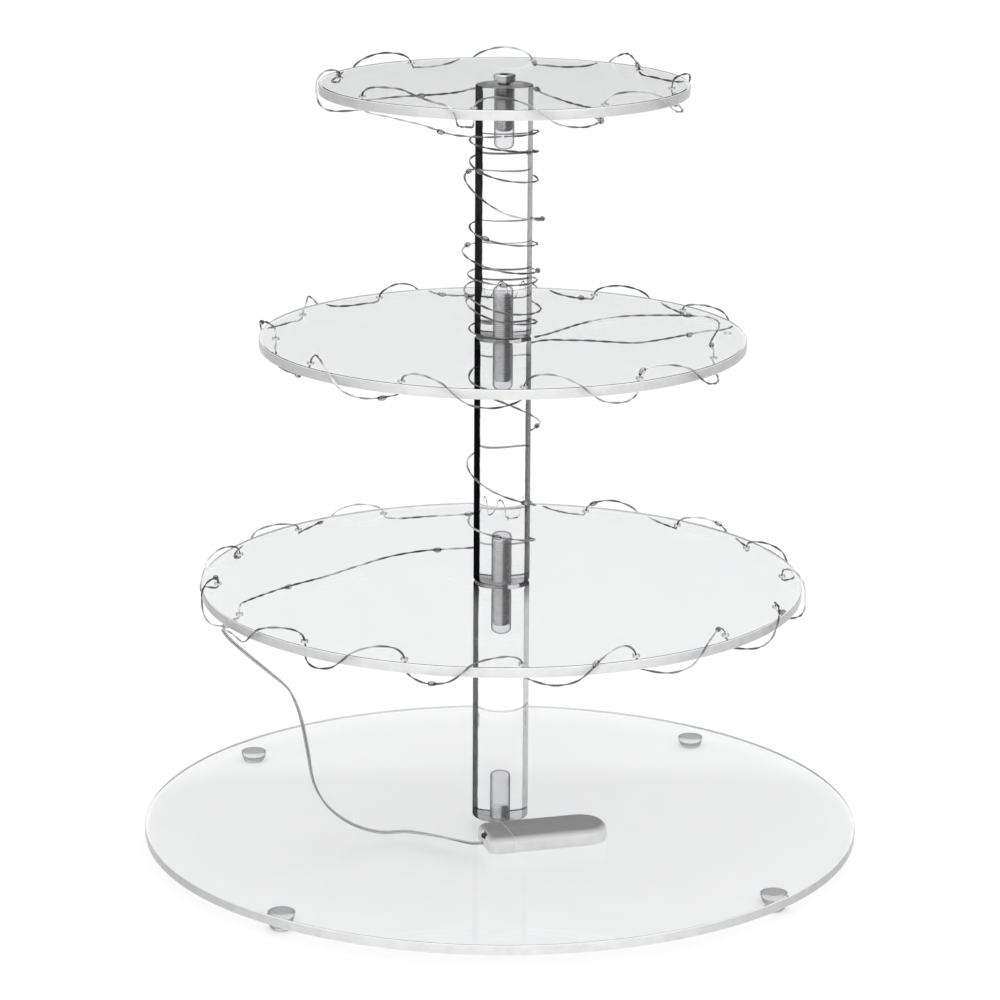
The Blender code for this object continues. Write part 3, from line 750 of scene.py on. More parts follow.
HEAD_RADIUS, HEAD_HEIGHT = SCREW_HEAD
HEAD_SIDES = 60
HEAD_ROUND = 0.0007
HEAD_STEPS = 4
HEAD_LAND = 0.0012
HEAD_FOOT = 0.0006
HEAD_CHAMFER = 0.0003
NECK_STEP = 0.0002
NECK_OVERLAP = 0.0005
SOCKET_CONE = 0.0005
for name, seat, way in (
    ("top_screw", disc_top(3) + GAP, 1.0),
    ("base_screw", BASE_DISC_BOTTOM - GAP, -1.0),
):
    # The head, with a hexagonal socket, made upright at the origin.
    corner = arc(HEAD_ROUND, HEAD_STEPS)
    socket = SOCKET_WIDTH / math.sqrt(3)
    shape = bmesh.new()
    profile = [(HEAD_RADIUS - HEAD_LAND, HEAD_HEIGHT, 0)]
    profile += [(HEAD_RADIUS - inward, HEAD_HEIGHT - down, 0) for inward, down in corner]
    profile += [(HEAD_RADIUS, HEAD_FOOT, 0), (HEAD_RADIUS - HEAD_CHAMFER, 0.0, 0)]
    profile += [(THREAD_RADIUS, 0.0, 0), (THREAD_RADIUS - NECK_STEP, -HEAD_FOOT, 0)]
    rings = revolve(shape, profile, HEAD_SIDES)
    per_side = HEAD_SIDES // 6
    hexagon = {}
    for depth in (0.0, SOCKET_DEPTH):
        ring = []
        for step in range(HEAD_SIDES):
            side, along = divmod(step, per_side)
            start = polar(socket, 60.0 * side, HEAD_HEIGHT - depth)
            end = polar(socket, 60.0 * (side + 1), HEAD_HEIGHT - depth)
            ring.append(shape.verts.new(start.lerp(end, along / per_side)))
        hexagon[depth] = ring
    skin(shape, hexagon[0.0], rings[0])
    skin(shape, hexagon[SOCKET_DEPTH], hexagon[0.0], 1)
    floor = shape.verts.new((0.0, 0.0, HEAD_HEIGHT - SOCKET_DEPTH - SOCKET_CONE))
    skin(shape, [floor], hexagon[SOCKET_DEPTH], 1)
    close_ends(shape, threaded(shape, -SCREW_LENGTH[name], -NECK_OVERLAP, (True, False)))
    shape.faces.new(rings[-1])
    face_outward(shape)
    turn = Matrix.Translation((0.0, 0.0, seat))
    if way < 0:
        turn = turn @ Matrix.Rotation(math.pi, 4, "X")
    bmesh.ops.transform(shape, matrix=turn, verts=shape.verts)
    outside = SCREW_STEEL if way > 0 else STEEL
    finish_piece(name + "_threaded", shape, [outside, DARK_STEEL], "stand", [name], sharp=50.0)


# ---- feet
# (radius, share of the height), from the flat top to the bottom.
FOOT_PROFILE = (
    (0.0, 1.0), (0.0044, 1.0), (0.0052, 0.985), (0.0055, 0.93), (0.0055, 0.86), (0.0053, 0.66),
    (0.0050, 0.42), (0.0046, 0.20), (0.0040, 0.06), (0.0033, 0.0), (0.0020, 0.0), (0.0, 0.0),
)
FOOT_SIDES = 40
for number in range(4):
    centre = polar(FOOT_CIRCLE, FOOT_FIRST_ANGLE + 90.0 * number, 0.0)
    shape = bmesh.new()
    profile = [(radius, share * FOOT_HEIGHT, 0) for radius, share in FOOT_PROFILE]
    revolve(shape, profile, FOOT_SIDES, (centre.x, centre.y))
    face_outward(shape)
    name = f"foot_{number + 1}"
    finish_piece(name + "_soft", shape, [RUBBER], "stand", [name], sharp=70.0)


# ---- battery box
BOX_FRAME = Matrix.Translation((*BOX_PLACE, disc_top(0) + GAP)) @ Matrix.Rotation(
    math.radians(BOX_TURN), 4, "Z"
)
FAR = 0.040
TOP_ROUND = 0.0032
FOOT_ROUND = 0.0007
# The cover closes this much nearer to the case than its CAD solid does.
SEAM = 0.00015
FOOT_SEAM = 0.00026
CORNER_STEPS = 10
ROUND_STEPS = 7
FOOT_STEPS = 3


def box_outline(inset):
    """The box's outline seen from above, drawn in by an inset."""
    outline = []
    half_length, half_width = BOX_LENGTH / 2, BOX_WIDTH / 2
    corners = (
        (half_length, half_width, BOX_RIGHT_CORNER, 0.0),
        (-half_length, half_width, BOX_LEFT_CORNER, 90.0),
        (-half_length, -half_width, BOX_LEFT_CORNER, 180.0),
        (half_length, -half_width, BOX_RIGHT_CORNER, 270.0),
    )
    for x, y, corner, start in corners:
        centre_x = x - math.copysign(corner, x)
        centre_y = y - math.copysign(corner, y)
        for step in range(CORNER_STEPS + 1):
            angle = math.radians(start + 90.0 * step / CORNER_STEPS)
            reach = corner - inset
            outline.append((centre_x + reach * math.cos(angle), centre_y + reach * math.sin(angle)))
    return outline


def pebble(low, high, wall=0.0, top_round=TOP_ROUND):
    """The box's outline, drawn in by a wall, raised between two heights, with rounded edges."""
    levels = [(wall + inward, low + down) for inward, down in arc(FOOT_ROUND, FOOT_STEPS)]
    upper = reversed(arc(top_round, ROUND_STEPS))
    levels += [(wall + inward, high - down) for inward, down in upper]
    shape = bmesh.new()
    rings = []
    for inset, height in levels:
        rings.append([shape.verts.new((x, y, height)) for x, y in box_outline(inset)])
    join_rings(shape, rings)
    close_ends(shape, rings)
    face_outward(shape)
    return shape


def shadowless(piece):
    """The photo shows next to no shadow under the box."""
    piece.visible_shadow = False
    piece.visible_diffuse = False


def box_piece(name, shape, materials, body, nodes, sharp=40.0):
    """A piece made in the box's frame and put where the box lies."""
    bmesh.ops.transform(shape, matrix=BOX_FRAME, verts=shape.verts)
    piece = finish_piece(name, shape, materials, body, nodes, sharp)
    shadowless(piece)
    return piece


def settle(piece, body, nodes, sharp=40.0):
    """Puts a finished Boolean piece from the box's frame where the box lies."""
    piece.data.transform(BOX_FRAME)
    dress(piece, body, nodes, sharp)
    shadowless(piece)


# Hollows in the case, from corner to corner in the box's own frame.
BOARD_POCKET = ((-0.0253, -0.0090, BOX_FLOOR), (BLOCK_END + 0.001, 0.0090, 0.0060))
KNOB_SLOT = ((-0.0275, -0.0030, 0.0038), (-0.0250, 0.0030, 0.0062))
LEAD_HOLE = ((-0.0275, -0.0003, 0.00045), (-0.0247, 0.00185, 0.00255))
RIB_INNER, RIB_OUTER, RIB_TOP = 0.0093, 0.0099, 0.0016
HOLLOW_LOW = -0.004
case = finish_piece("battery_case_moulded", pebble(0.0, BOX_HEIGHT), [CASE], body=None)
cut(case, block((BLOCK_END, -FAR, BOX_FLOOR), (FAR, FAR, FAR)))
for pocket in (BOARD_POCKET, KNOB_SLOT, LEAD_HOLE):
    cut(case, block(*pocket))
for side in (-1, 1):
    inner, outer = sorted((side * RIB_INNER, side * RIB_OUTER))
    rib_end = CELL_PLACES["coin_cell_right"]
    rib = block((COVER_START, inner, BOX_FLOOR / 2), (rib_end, outer, RIB_TOP))
    cut(case, rib, "UNION")
settle(case, "stand", ["battery_case"])

cover = finish_piece("battery_cover_moulded", pebble(0.0, BOX_HEIGHT), [CASE], body=None)
hollow = pebble(HOLLOW_LOW, BOX_HEIGHT - COVER_ROOF, COVER_WALL, TOP_ROUND - COVER_WALL)
cut(cover, finish_piece("hollow", hollow, [CASE], body=None))
cut(cover, block((-FAR, -FAR, -FAR), (COVER_START - SEAM, FAR, FAR)))
cut(cover, block((-FAR, -FAR, -FAR), (FAR, FAR, COVER_FOOT - FOOT_SEAM)))
settle(cover, "battery_cover", ["battery_cover"])

# The switch's knob with three ridges, at one end of its slot.
shape = bmesh.new()
soft_block(shape, (-0.0270, -0.00265, 0.00415), (-0.0251, 0.00065, 0.00585), 0.0004)
for ridge in range(3):
    start = -0.0021 + 0.0008 * ridge
    soft_block(shape, (-0.0274, start, 0.0044), (-0.0268, start + 0.0004, 0.0056), 0.00012, 2)
box_piece("power_switch_knob", shape, [KNOB], "power_switch", ["power_switch"])

# The switch's body and its three legs.
shape = bmesh.new()
soft_block(shape, (-0.0248, -0.0045, 0.0040), (-0.0206, 0.0045, 0.0057), 0.0003)
for leg in range(3):
    start = -0.0030 + 0.0026 * leg
    soft_block(shape, (-0.0229, start, 0.0037), (-0.0223, start + 0.0008, 0.0041), 0.0001, 2)
box_piece("switch_body_moulded", shape, [KNOB], "stand", ["switch_body"])

# The control board and three chips on it: (x, y, half width).
CHIPS = ((-0.0190, 0.0040, 0.0008), (-0.0188, -0.0050, 0.0006), (-0.0236, 0.0066, 0.0007))
CHIP_LOW, CHIP_HIGH = 0.0033, 0.0036
shape = bmesh.new()
soft_block(shape, (-0.0250, -0.0085, 0.0028), (-0.0169, 0.0085, 0.0034), 0.0001, 2)
for x, y, half in CHIPS:
    tall = half * 1.6
    soft_block(shape, (x - half, y - tall, CHIP_LOW), (x + half, y + tall, CHIP_HIGH), 0.0001, 2)
box_piece("control_board_parts", shape, [BOARD], "stand", ["control_board"])

# Contact plates, each with two raised bars where it touches a cell.
BAR_SHARES = (0.25, 0.75)
BAR_HALF = (0.0016, 0.0007)
BAR_DEEP, BAR_RAISED = 0.00005, 0.0001
for name, low, high in (
    ("positive_contact", (-0.0158, 0.0045, 0.0015), (0.0180, 0.0075, 0.0017)),
    ("negative_contact", (-0.0158, -0.0065, 0.0015), (-0.0040, -0.0015, 0.0017)),
    ("bridge_contact", (-0.0080, -0.0030, 0.00535), (0.0180, 0.0030, 0.0056)),
):
    shape = bmesh.new()
    soft_block(shape, low, high, 0.00008, 2)
    middle = (low[1] + high[1]) / 2
    for share in BAR_SHARES:
        along = low[0] + (high[0] - low[0]) * share
        rise = high[2] if name != "bridge_contact" else low[2] - BAR_DEEP
        start = (along - BAR_HALF[0], middle - BAR_HALF[1], rise - BAR_DEEP)
        end = (along + BAR_HALF[0], middle + BAR_HALF[1], rise + BAR_RAISED)
        soft_block(shape, start, end, 0.00006, 2)
    body = "battery_cover" if name == "bridge_contact" else "stand"
    box_piece(name + "_pressed", shape, [NICKEL], body, [name])

# Coin cells: a can with a rolled edge, a gasket line and the smaller cap, as (radius, share of the
# height, material).
CELL_PROFILE = (
    (0.0, 1.0, 0), (0.0085, 1.0, 0), (0.0088, 0.985, 0), (0.0090, 0.93, 1), (0.0094, 0.92, 0),
    (0.0098, 0.90, 0), (0.0100, 0.82, 0), (0.0100, 0.12, 0), (0.0097, 0.02, 0), (0.0094, 0.0, 0),
    (0.0, 0.0, 0),
)
CELL_SIDES = 72
for name, place in CELL_PLACES.items():
    shape = bmesh.new()
    profile = [(r, CELL_BOTTOM + CELL_HEIGHT * share, m) for r, share, m in CELL_PROFILE]
    revolve(shape, profile, CELL_SIDES, (place, 0.0))
    if name == "coin_cell_left":
        # This cell lies the other way up.
        centre = Vector((place, 0.0, CELL_BOTTOM + CELL_HEIGHT / 2))
        turn = Matrix.Translation(centre) @ Matrix.Rotation(math.pi, 4, "X")
        bmesh.ops.transform(shape, matrix=turn @ Matrix.Translation(-centre), verts=shape.verts)
    face_outward(shape)
    box_piece(name + "_can", shape, [CELL_STEEL, GASKET], "stand", [name])


# ---- wire routes, as in part.py
def smooth_route(points, samples):
    """Points on a smooth curve through the given ones, with a number of steps for each span."""
    ends = [points[0] * 2 - points[1]] + list(points) + [points[-1] * 2 - points[-2]]
    route = []
    for before, start, end, after in zip(ends, ends[1:], ends[2:], ends[3:]):
        for step in range(samples):
            t = step / samples
            slope = (end - before) * t
            bend = (2 * before - 5 * start + 4 * end - after) * t**2
            twist = (3 * start - before - 3 * end + after) * t**3
            route.append(0.5 * (2 * start + slope + bend + twist))
    route.append(points[-1].copy())
    return route


def flowing(points, samples=8):
    """A centripetal curve through the points, which doesn't overshoot where their spacing changes."""
    ends = [points[0] * 2 - points[1]] + list(points) + [points[-1] * 2 - points[-2]]
    route = []
    for p0, p1, p2, p3 in zip(ends, ends[1:], ends[2:], ends[3:]):
        t0 = 0.0
        t1 = t0 + max(1e-5, (p1 - p0).length) ** 0.5
        t2 = t1 + max(1e-5, (p2 - p1).length) ** 0.5
        t3 = t2 + max(1e-5, (p3 - p2).length) ** 0.5
        for step in range(samples):
            t = t1 + (t2 - t1) * step / samples
            a1 = p0 * ((t1 - t) / (t1 - t0)) + p1 * ((t - t0) / (t1 - t0))
            a2 = p1 * ((t2 - t) / (t2 - t1)) + p2 * ((t - t1) / (t2 - t1))
            a3 = p2 * ((t3 - t) / (t3 - t2)) + p3 * ((t - t2) / (t3 - t2))
            b1 = a1 * ((t2 - t) / (t2 - t0)) + a2 * ((t - t0) / (t2 - t0))
            b2 = a2 * ((t3 - t) / (t3 - t1)) + a3 * ((t - t1) / (t3 - t1))
            route.append(b1 * ((t2 - t) / (t2 - t1)) + b2 * ((t - t1) / (t2 - t1)))
    route.append(points[-1].copy())
    return route


def evenly(route, spacing):
    """The same route with points at an even spacing."""
    reached = [0.0]
    for start, end in zip(route, route[1:]):
        reached.append(reached[-1] + (end - start).length)
    total = reached[-1]
    count = max(2, int(round(total / spacing)))
    points = []
    index = 0
    for number in range(count + 1):
        target = total * number / count
        while index < len(route) - 2 and reached[index + 1] < target:
            index += 1
        span = max(1e-9, reached[index + 1] - reached[index])
        share = min(1.0, max(0.0, (target - reached[index]) / span))
        points.append(route[index].lerp(route[index + 1], share))
    return points


def lace_point(tier, place, out, height):
    """A point at a place counted in holes; out is from the rim, height from the top or bottom face."""
    level = disc_top(tier) if height >= 0 else disc_bottom(tier)
    return polar(DISC_RADII[tier] + out, hole_angle(tier, place), level + height)


# One over-the-rim stitch from hole 0 to hole 1: (share of the way, distance out from the rim,
# height above the top face, or below the bottom face where it is negative).
STITCH = (
    (0.01, -LACE_MARGIN, -0.0009), (0.10, -0.0030, -0.0024), (0.25, 0.0008, -0.0031),
    (0.42, 0.0018, -0.0015), (0.52, 0.0016, -0.0045), (0.60, 0.0009, 0.0015), (0.76, -0.0025, 0.0040),
    (0.92, -0.0065, 0.0032), (0.99, -LACE_MARGIN, 0.0009),
)
RIM_POINT = 4
ARCH_POINTS = (6, 7)
RIM_HEIGHT = DISC_THICKNESS / 2


def stitch(tier, hole, rising, lift=1.0, first=0):
    """The points of one stitch. A falling one goes beneath and round the rim, then down the next hole.
    A rising one is its mirror: up the first hole, over the rim and beneath. lift scales its arch."""
    points = []
    for number, (share, out, height) in list(enumerate(STITCH))[first:]:
        place = 1.0 - share if rising else share
        if number == RIM_POINT:
            level = disc_bottom(tier) + RIM_HEIGHT
            points.append(polar(DISC_RADII[tier] + out, hole_angle(tier, hole + place), level))
        else:
            raised = height * lift if number in ARCH_POINTS else height
            points.append(lace_point(tier, hole + place, out, raised))
    return points[::-1] if rising else points


def up_hole(tier, hole):
    """Straight up through a hole, from just beneath it to just above it."""
    return [lace_point(tier, hole, -LACE_MARGIN, -0.0009), lace_point(tier, hole, -LACE_MARGIN, 0.0009)]


def winding(turns, loose, steps):
    """Points round the post through (angle, height) pairs, with a few that stand off it."""
    knots = [Vector((angle, loose.get(angle, WINDING_RADIUS), height)) for angle, height in turns]
    return [polar(knot.y, knot.x, knot.z) for knot in smooth_route(knots, steps)]


def vectors(points):
    return [Vector(point) for point in points]


LEAD_ROUTE = (
    (-0.0057, -0.0394, 0.01085), (-0.0086, -0.0402, 0.0107), (-0.0122, -0.0393, 0.0103),
    (-0.0170, -0.0360, 0.0101), (-0.0233, -0.0322, 0.0101), (-0.0329, -0.0273, 0.0101),
    (-0.0397, -0.0252, 0.0101), (-0.0496, -0.0268, 0.0103), (-0.0609, -0.0268, 0.0135),
    (-0.0695, -0.0295, 0.0204), (-0.0742, -0.0330, 0.0276), (-0.0772, -0.0370, 0.0363),
    (-0.0792, -0.0420, 0.0515), (-0.0813, -0.0460, 0.0653), (-0.0835, -0.0480, 0.0737),
    (-0.0865, -0.0500, 0.0803), (-0.0947, -0.0530, 0.0889), (-0.1049, -0.0558, 0.0987),
    (-0.1100, -0.0568, 0.1040), (-0.1122, -0.0572, 0.1072),
)
lead_route = vectors(LEAD_ROUTE)

# Lower tier's lacing: it starts where the lead ends, falls through eleven holes, runs beneath
# to the next and rises through the rest, and comes up through its first hole.
LOWER_LIFTS = (0.9, 1.1, 0.8, 1.2, 1.0, 0.8, 1.1, 0.9, 1.0, 1.1, 0.9)
LOWER_RISING = ((12, 1.0), (13, 0.8), (14, 1.1), (15, 0.9))
lower_start = [
    polar(0.1262, 207.15, 0.1079), polar(0.1268, 209.2, 0.1086), polar(0.1270, 212.2, 0.1088)
]
lower_lace = lower_start + stitch(1, 0, rising=False, lift=LOWER_LIFTS[0], first=3)
for hole, lift in enumerate(LOWER_LIFTS[1:], start=1):
    lower_lace += stitch(1, hole, rising=False, lift=lift)
lower_lace += [
    lace_point(1, 11.01, -LACE_MARGIN, -0.0009),
    lace_point(1, 11.12, -0.0064, -0.0025),
    lace_point(1, 11.50, -0.0056, -0.0032),
    lace_point(1, 11.88, -0.0064, -0.0025),
    lace_point(1, 11.99, -LACE_MARGIN, -0.0009),
]
for hole, lift in LOWER_RISING:
    lower_lace += stitch(1, hole, rising=True, lift=lift)
lower_lace += up_hole(1, 16)[1:]

# Across the lower tier's top to the post, and up it in four loose turns.
CROSSING = (
    (-0.10561, -0.05264, 0.1144), (-0.1054, -0.0510, 0.1158), (-0.1040, -0.0430, 0.1149),
    (-0.0978, -0.0307, 0.1142), (-0.0880, -0.0175, 0.1141), (-0.0733, -0.0025, 0.1142),
    (-0.0590, 0.0120, 0.1152), (-0.0470, 0.0208, 0.1165), (-0.0330, 0.0240, 0.1182),
    (-0.0200, 0.0212, 0.1200), (-0.0100, 0.0162, 0.1222),
)
LOWER_WINDING = (
    (90.0, 0.1262), (0.0, 0.1300), (-90.0, 0.1345), (-180.0, 0.1380), (-270.0, 0.1415),
    (-360.0, 0.1448), (-450.0, 0.1525), (-540.0, 0.1628), (-630.0, 0.1680), (-720.0, 0.1800),
    (-810.0, 0.1918), (-900.0, 0.1960), (-980.0, 0.2025),
)
LOOSE_LOWER = {-720.0: 0.0155, -540.0: 0.0146, -450.0: 0.0143}

lower_post = vectors(CROSSING)
lower_post += winding(LOWER_WINDING, LOOSE_LOWER, 3)
LOWER_EXIT = ((0.0085, 0.0122, 0.2068), (0.0145, 0.0068, 0.2098), (0.0190, 0.0026, 0.2112))
lower_post += vectors(LOWER_EXIT)

# Beneath the middle tier to its rim, round it, and back over its top to the post.
BENEATH_MIDDLE = (
    (0.0195, 0.0022, 0.2114), (0.0254, -0.0004, 0.2118), (0.0330, -0.0006, 0.2118),
    (0.0430, -0.0034, 0.2119), (0.0540, -0.0053, 0.2119), (0.0633, 0.0004, 0.2118),
    (0.0736, 0.0101, 0.2116), (0.0845, 0.0215, 0.2112), (0.0925, 0.0290, 0.2104),
    (0.0962, 0.0324, 0.2114),
)
MIDDLE_LIFTS = (0.8, 1.0, 1.1, 0.9, 1.2, 1.0)
MIDDLE_RISING = ((7, 1.1), (8, 0.9), (9, 1.2), (10, 1.0))
OVER_MIDDLE = (
    (0.0843, -0.0386, 0.2193), (0.0838, -0.0330, 0.2199), (0.0838, -0.0220, 0.2186),
    (0.0869, -0.0011, 0.2180), (0.0893, 0.0130, 0.2180), (0.0893, 0.0245, 0.2182),
    (0.0855, 0.0315, 0.2184), (0.0760, 0.0350, 0.2182), (0.0630, 0.0363, 0.2180),
    (0.0510, 0.0340, 0.2180), (0.0410, 0.0278, 0.2180), (0.0322, 0.0180, 0.2180),
    (0.0240, 0.0060, 0.2180), (0.0180, -0.0030, 0.2180), (0.0130, -0.0085, 0.2180),
)
middle_lace = vectors(BENEATH_MIDDLE)
middle_lace += stitch(2, 0, rising=False, lift=MIDDLE_LIFTS[0], first=RIM_POINT)
for hole, lift in enumerate(MIDDLE_LIFTS[1:], start=1):
    middle_lace += stitch(2, hole, rising=False, lift=lift)
middle_lace += [
    lace_point(2, 6.01, -LACE_MARGIN, -0.0009),
    lace_point(2, 6.12, -0.0064, -0.0024),
    lace_point(2, 6.50, -0.0050, -0.0030),
    lace_point(2, 6.88, -0.0064, -0.0024),
    lace_point(2, 6.99, -LACE_MARGIN, -0.0009),
]
for hole, lift in MIDDLE_RISING:
    middle_lace += stitch(2, hole, rising=True, lift=lift)
middle_lace += up_hole(2, 11)[1:]
middle_lace += vectors(OVER_MIDDLE)

# Up the upper rod in nine and a half turns. Each turn's heights at the post's right, front, left
# and back follow one another; the wire stands off the rod at a few of them.
UPPER_TURNS = (
    (0.2180, 0.2182, 0.2197, 0.2210), (0.2226, 0.2250, 0.2310, 0.2312),
    (0.2280, 0.2290, 0.2360, 0.2388), (0.2400, 0.2405, 0.2424, 0.2430),
    (0.2438, 0.2460, 0.2520, 0.2540), (0.2550, 0.2574, 0.2620, 0.2632),
    (0.2650, 0.2702, 0.2825, 0.2838), (0.2815, 0.2834, 0.2890, 0.2910),
    (0.2930, 0.2955, 0.2975, 0.2990), (0.3012, 0.3012),
)
LOOSE_UPPER = {6: 0.0152, 8: 0.0155, 10: 0.0160, 14: 0.0145, 18: 0.0168, 24: 0.0160, 26: 0.0160}
upper_knots = []
for turn, heights in enumerate(UPPER_TURNS):
    for quarter, height in enumerate(heights):
        upper_knots.append((-90.0 * (4 * turn + quarter), height))
upper_loose = {-90.0 * number: radius for number, radius in LOOSE_UPPER.items()}
UPPER_START = 2
upper_post = winding(upper_knots, upper_loose, 3)[UPPER_START:]

# Beneath the top tier to its rim, a wide loop over its top, round the rim and back beneath it to
# the far side of the post, with its end hanging just beneath a lacing hole.
TO_TOP_RIM = (
    (-0.0010, -0.0139, 0.3012), (-0.0076, -0.0140, 0.3009), (-0.0150, -0.0164, 0.3016),
    (-0.0215, -0.0195, 0.3029), (-0.0325, -0.0260, 0.3075), (-0.0399, -0.0305, 0.3100),
    (-0.0473, -0.0345, 0.3124), (-0.0530, -0.0375, 0.3140),
)
WIDE_LOOP = (
    (-0.0541, -0.0406, 0.3238), (-0.0512, -0.0434, 0.3250), (-0.0444, -0.0494, 0.3257),
    (-0.0396, -0.0537, 0.3256), (-0.0344, -0.0584, 0.3240), (-0.0270, -0.0660, 0.3226),
    (-0.0210, -0.0732, 0.3218), (-0.0190, -0.0746, 0.3190), (-0.0180, -0.0722, 0.3150),
    (-0.0160, -0.0650, 0.3130), (-0.0140, -0.0600, 0.3122), (-0.0123, -0.0625, 0.3126),
)
TOP_LIFTS = ((1, 1.1), (2, 1.0), (3, 0.9), (4, 1.2), (5, 1.1), (6, 1.1), (7, 1.0))
TOP_RETURN = (
    (-0.0520, -0.0330, 0.3152), (-0.0430, -0.0245, 0.3150), (-0.0330, -0.0180, 0.3147),
    (-0.0245, -0.0110, 0.3143), (-0.0178, -0.0035, 0.3141), (-0.0135, 0.0050, 0.3140),
    (-0.0080, 0.0117, 0.3138), (0.0000, 0.0141, 0.3136), (0.0080, 0.0117, 0.3138),
    (0.0130, 0.0056, 0.3142), (0.0143, -0.0030, 0.3148), (0.0143, -0.0110, 0.3154),
    (0.0168, -0.0175, 0.3152), (0.0208, -0.0228, 0.3146), (0.0255, -0.0295, 0.3140),
    (0.0303, -0.0380, 0.3140), (0.0355, -0.0495, 0.3146), (0.0372, -0.0530, 0.3150),
)
top_lace = vectors(TO_TOP_RIM)
top_lace += up_hole(3, 0)
top_lace += vectors(WIDE_LOOP)
top_lace += up_hole(3, 1)[:1]
for hole, lift in TOP_LIFTS:
    top_lace += stitch(3, hole, rising=True, lift=lift, first=0 if hole < 7 else 1)
top_lace += vectors(TOP_RETURN)


# LED drops, as shares of each string's length: where the photo shows them, and about every 80 mm.
LOWER_DROPS = (0.056, 0.14, 0.22, 0.30, 0.38, 0.46, 0.54, 0.62, 0.70, 0.78, 0.86, 0.942, 0.988)
POST_DROPS = (0.09, 0.26, 0.43, 0.60, 0.775, 0.93)
MIDDLE_DROPS = (0.07, 0.15, 0.22, 0.30, 0.379, 0.46, 0.53, 0.60, 0.68, 0.755, 0.832, 0.91)
UPPER_DROPS = (0.06, 0.152, 0.251, 0.34, 0.42, 0.487, 0.57, 0.64, 0.712, 0.80, 0.88, 0.96)
TOP_DROPS = (0.033, 0.083, 0.19, 0.27, 0.36, 0.459, 0.54, 0.63, 0.723, 0.838, 0.92, 1.0)

# ---- wires
STRAND_STEP = 0.0006
STRAND_SIDES = 7
TWIST_PITCH = 0.0150
LEAD_PITCH = 0.110
# The string's twist loosens and tightens: by how much, in radians, and how often, in radians per metre.
TWIST_SWING = 1.1
TWIST_RATE = 35.0


def frames_along(points):
    """A steady pair of directions across the route at each of its points."""
    frames = []
    across = None
    for index, point in enumerate(points):
        ahead = points[min(index + 1, len(points) - 1)] - points[max(index - 1, 0)]
        ahead.normalize()
        if across is None:
            across = ahead.cross(Vector((0.0, 0.0, 1.0))).normalized()
        across = (across - ahead * across.dot(ahead)).normalized()
        frames.append((ahead, across, ahead.cross(across)))
    return frames


def strand(shape, points, frames, radius, offsets):
    """One round strand along the route, with its own offset at each point."""
    rings = []
    for point, (_, across, over), (u, v) in zip(points, frames, offsets):
        centre = point + across * u + over * v
        ring = []
        for step in range(STRAND_SIDES):
            angle = math.tau * step / STRAND_SIDES
            spoke = across * math.cos(angle) + over * math.sin(angle)
            ring.append(shape.verts.new(centre + spoke * radius))
        rings.append(ring)
    for lower, upper in zip(rings, rings[1:]):
        skin(shape, lower, upper)
    close_ends(shape, rings)


def pair_of_strands(name, points, diameter, twisted, material, node):
    """Two strands side by side, or twisted together, whose outside is the wire's diameter."""
    radius = diameter / 4
    frames = frames_along(points)
    shape = bmesh.new()
    for which in (0.0, math.pi):
        offsets = []
        for index in range(len(points)):
            run = STRAND_STEP * index
            if twisted:
                turn = math.tau * run / TWIST_PITCH + TWIST_SWING * math.sin(run * TWIST_RATE)
            else:
                turn = math.pi / 2 - math.tau * run / LEAD_PITCH
            offsets.append((radius * math.cos(turn + which), radius * math.sin(turn + which)))
        strand(shape, points, frames, radius, offsets)
    face_outward(shape)
    return finish_piece(name, shape, [material], "stand", [node], sharp=70.0)


# LED drops: clear resin round a small chip, with a solder bead at each end.
DROP_LENGTH = 0.0034
DROP_RADIUS = 0.0011
DROP_SIDES = 14
BEAD_RADIUS = 0.00055
BEAD_OFFSET = 0.0014
DROP_ROWS = 8
DROP_ASIDE = 0.00025
CHIP_SIZE = (0.0008, 0.0004, 0.0014)
CHIP_ASIDE = 0.0004


def paint(verts, material):
    """Gives the faces round some points a material."""
    for vert in verts:
        for face in vert.link_faces:
            face.material_index = material


def drops(name, points, places):
    """One piece with an LED drop at each of the route's given places, which are point numbers."""
    frames = frames_along(points)
    shape = bmesh.new()
    for place in places:
        ahead, across, over = frames[place]
        side = over * DROP_ASIDE
        centre = points[place] + side
        rings = []
        for row in range(DROP_ROWS + 1):
            angle = math.pi * row / DROP_ROWS
            along = -math.cos(angle) * DROP_LENGTH / 2
            radius = DROP_RADIUS * math.sin(angle) ** 0.8 if 0 < row < DROP_ROWS else 0.0
            if radius == 0.0:
                rings.append([shape.verts.new(centre + ahead * along)])
                continue
            ring = []
            for step in range(DROP_SIDES):
                spin = math.tau * step / DROP_SIDES
                spoke = across * math.cos(spin) + over * math.sin(spin)
                ring.append(shape.verts.new(centre + ahead * along + spoke * radius))
            rings.append(ring)
        for lower, upper in zip(rings, rings[1:]):
            skin(shape, lower, upper)
        for way in (-1.0, 1.0):
            bead = bmesh.ops.create_icosphere(shape, subdivisions=2, radius=BEAD_RADIUS)
            spot = centre - side + ahead * (way * BEAD_OFFSET)
            bmesh.ops.translate(shape, vec=spot, verts=bead["verts"])
            paint(bead["verts"], 2)
        chip = bmesh.ops.create_cube(shape, size=1.0)
        turn = Matrix((across, over, ahead)).transposed().to_4x4()
        sized = Matrix.Diagonal((*CHIP_SIZE, 1.0))
        placed = Matrix.Translation(centre + over * CHIP_ASIDE) @ turn @ sized
        bmesh.ops.transform(shape, matrix=placed, verts=chip["verts"])
        paint(chip["verts"], 1)
    face_outward(shape)
    return finish_piece(name, shape, [RESIN, CHIP, SOLDER], "stand", [], sharp=50.0)


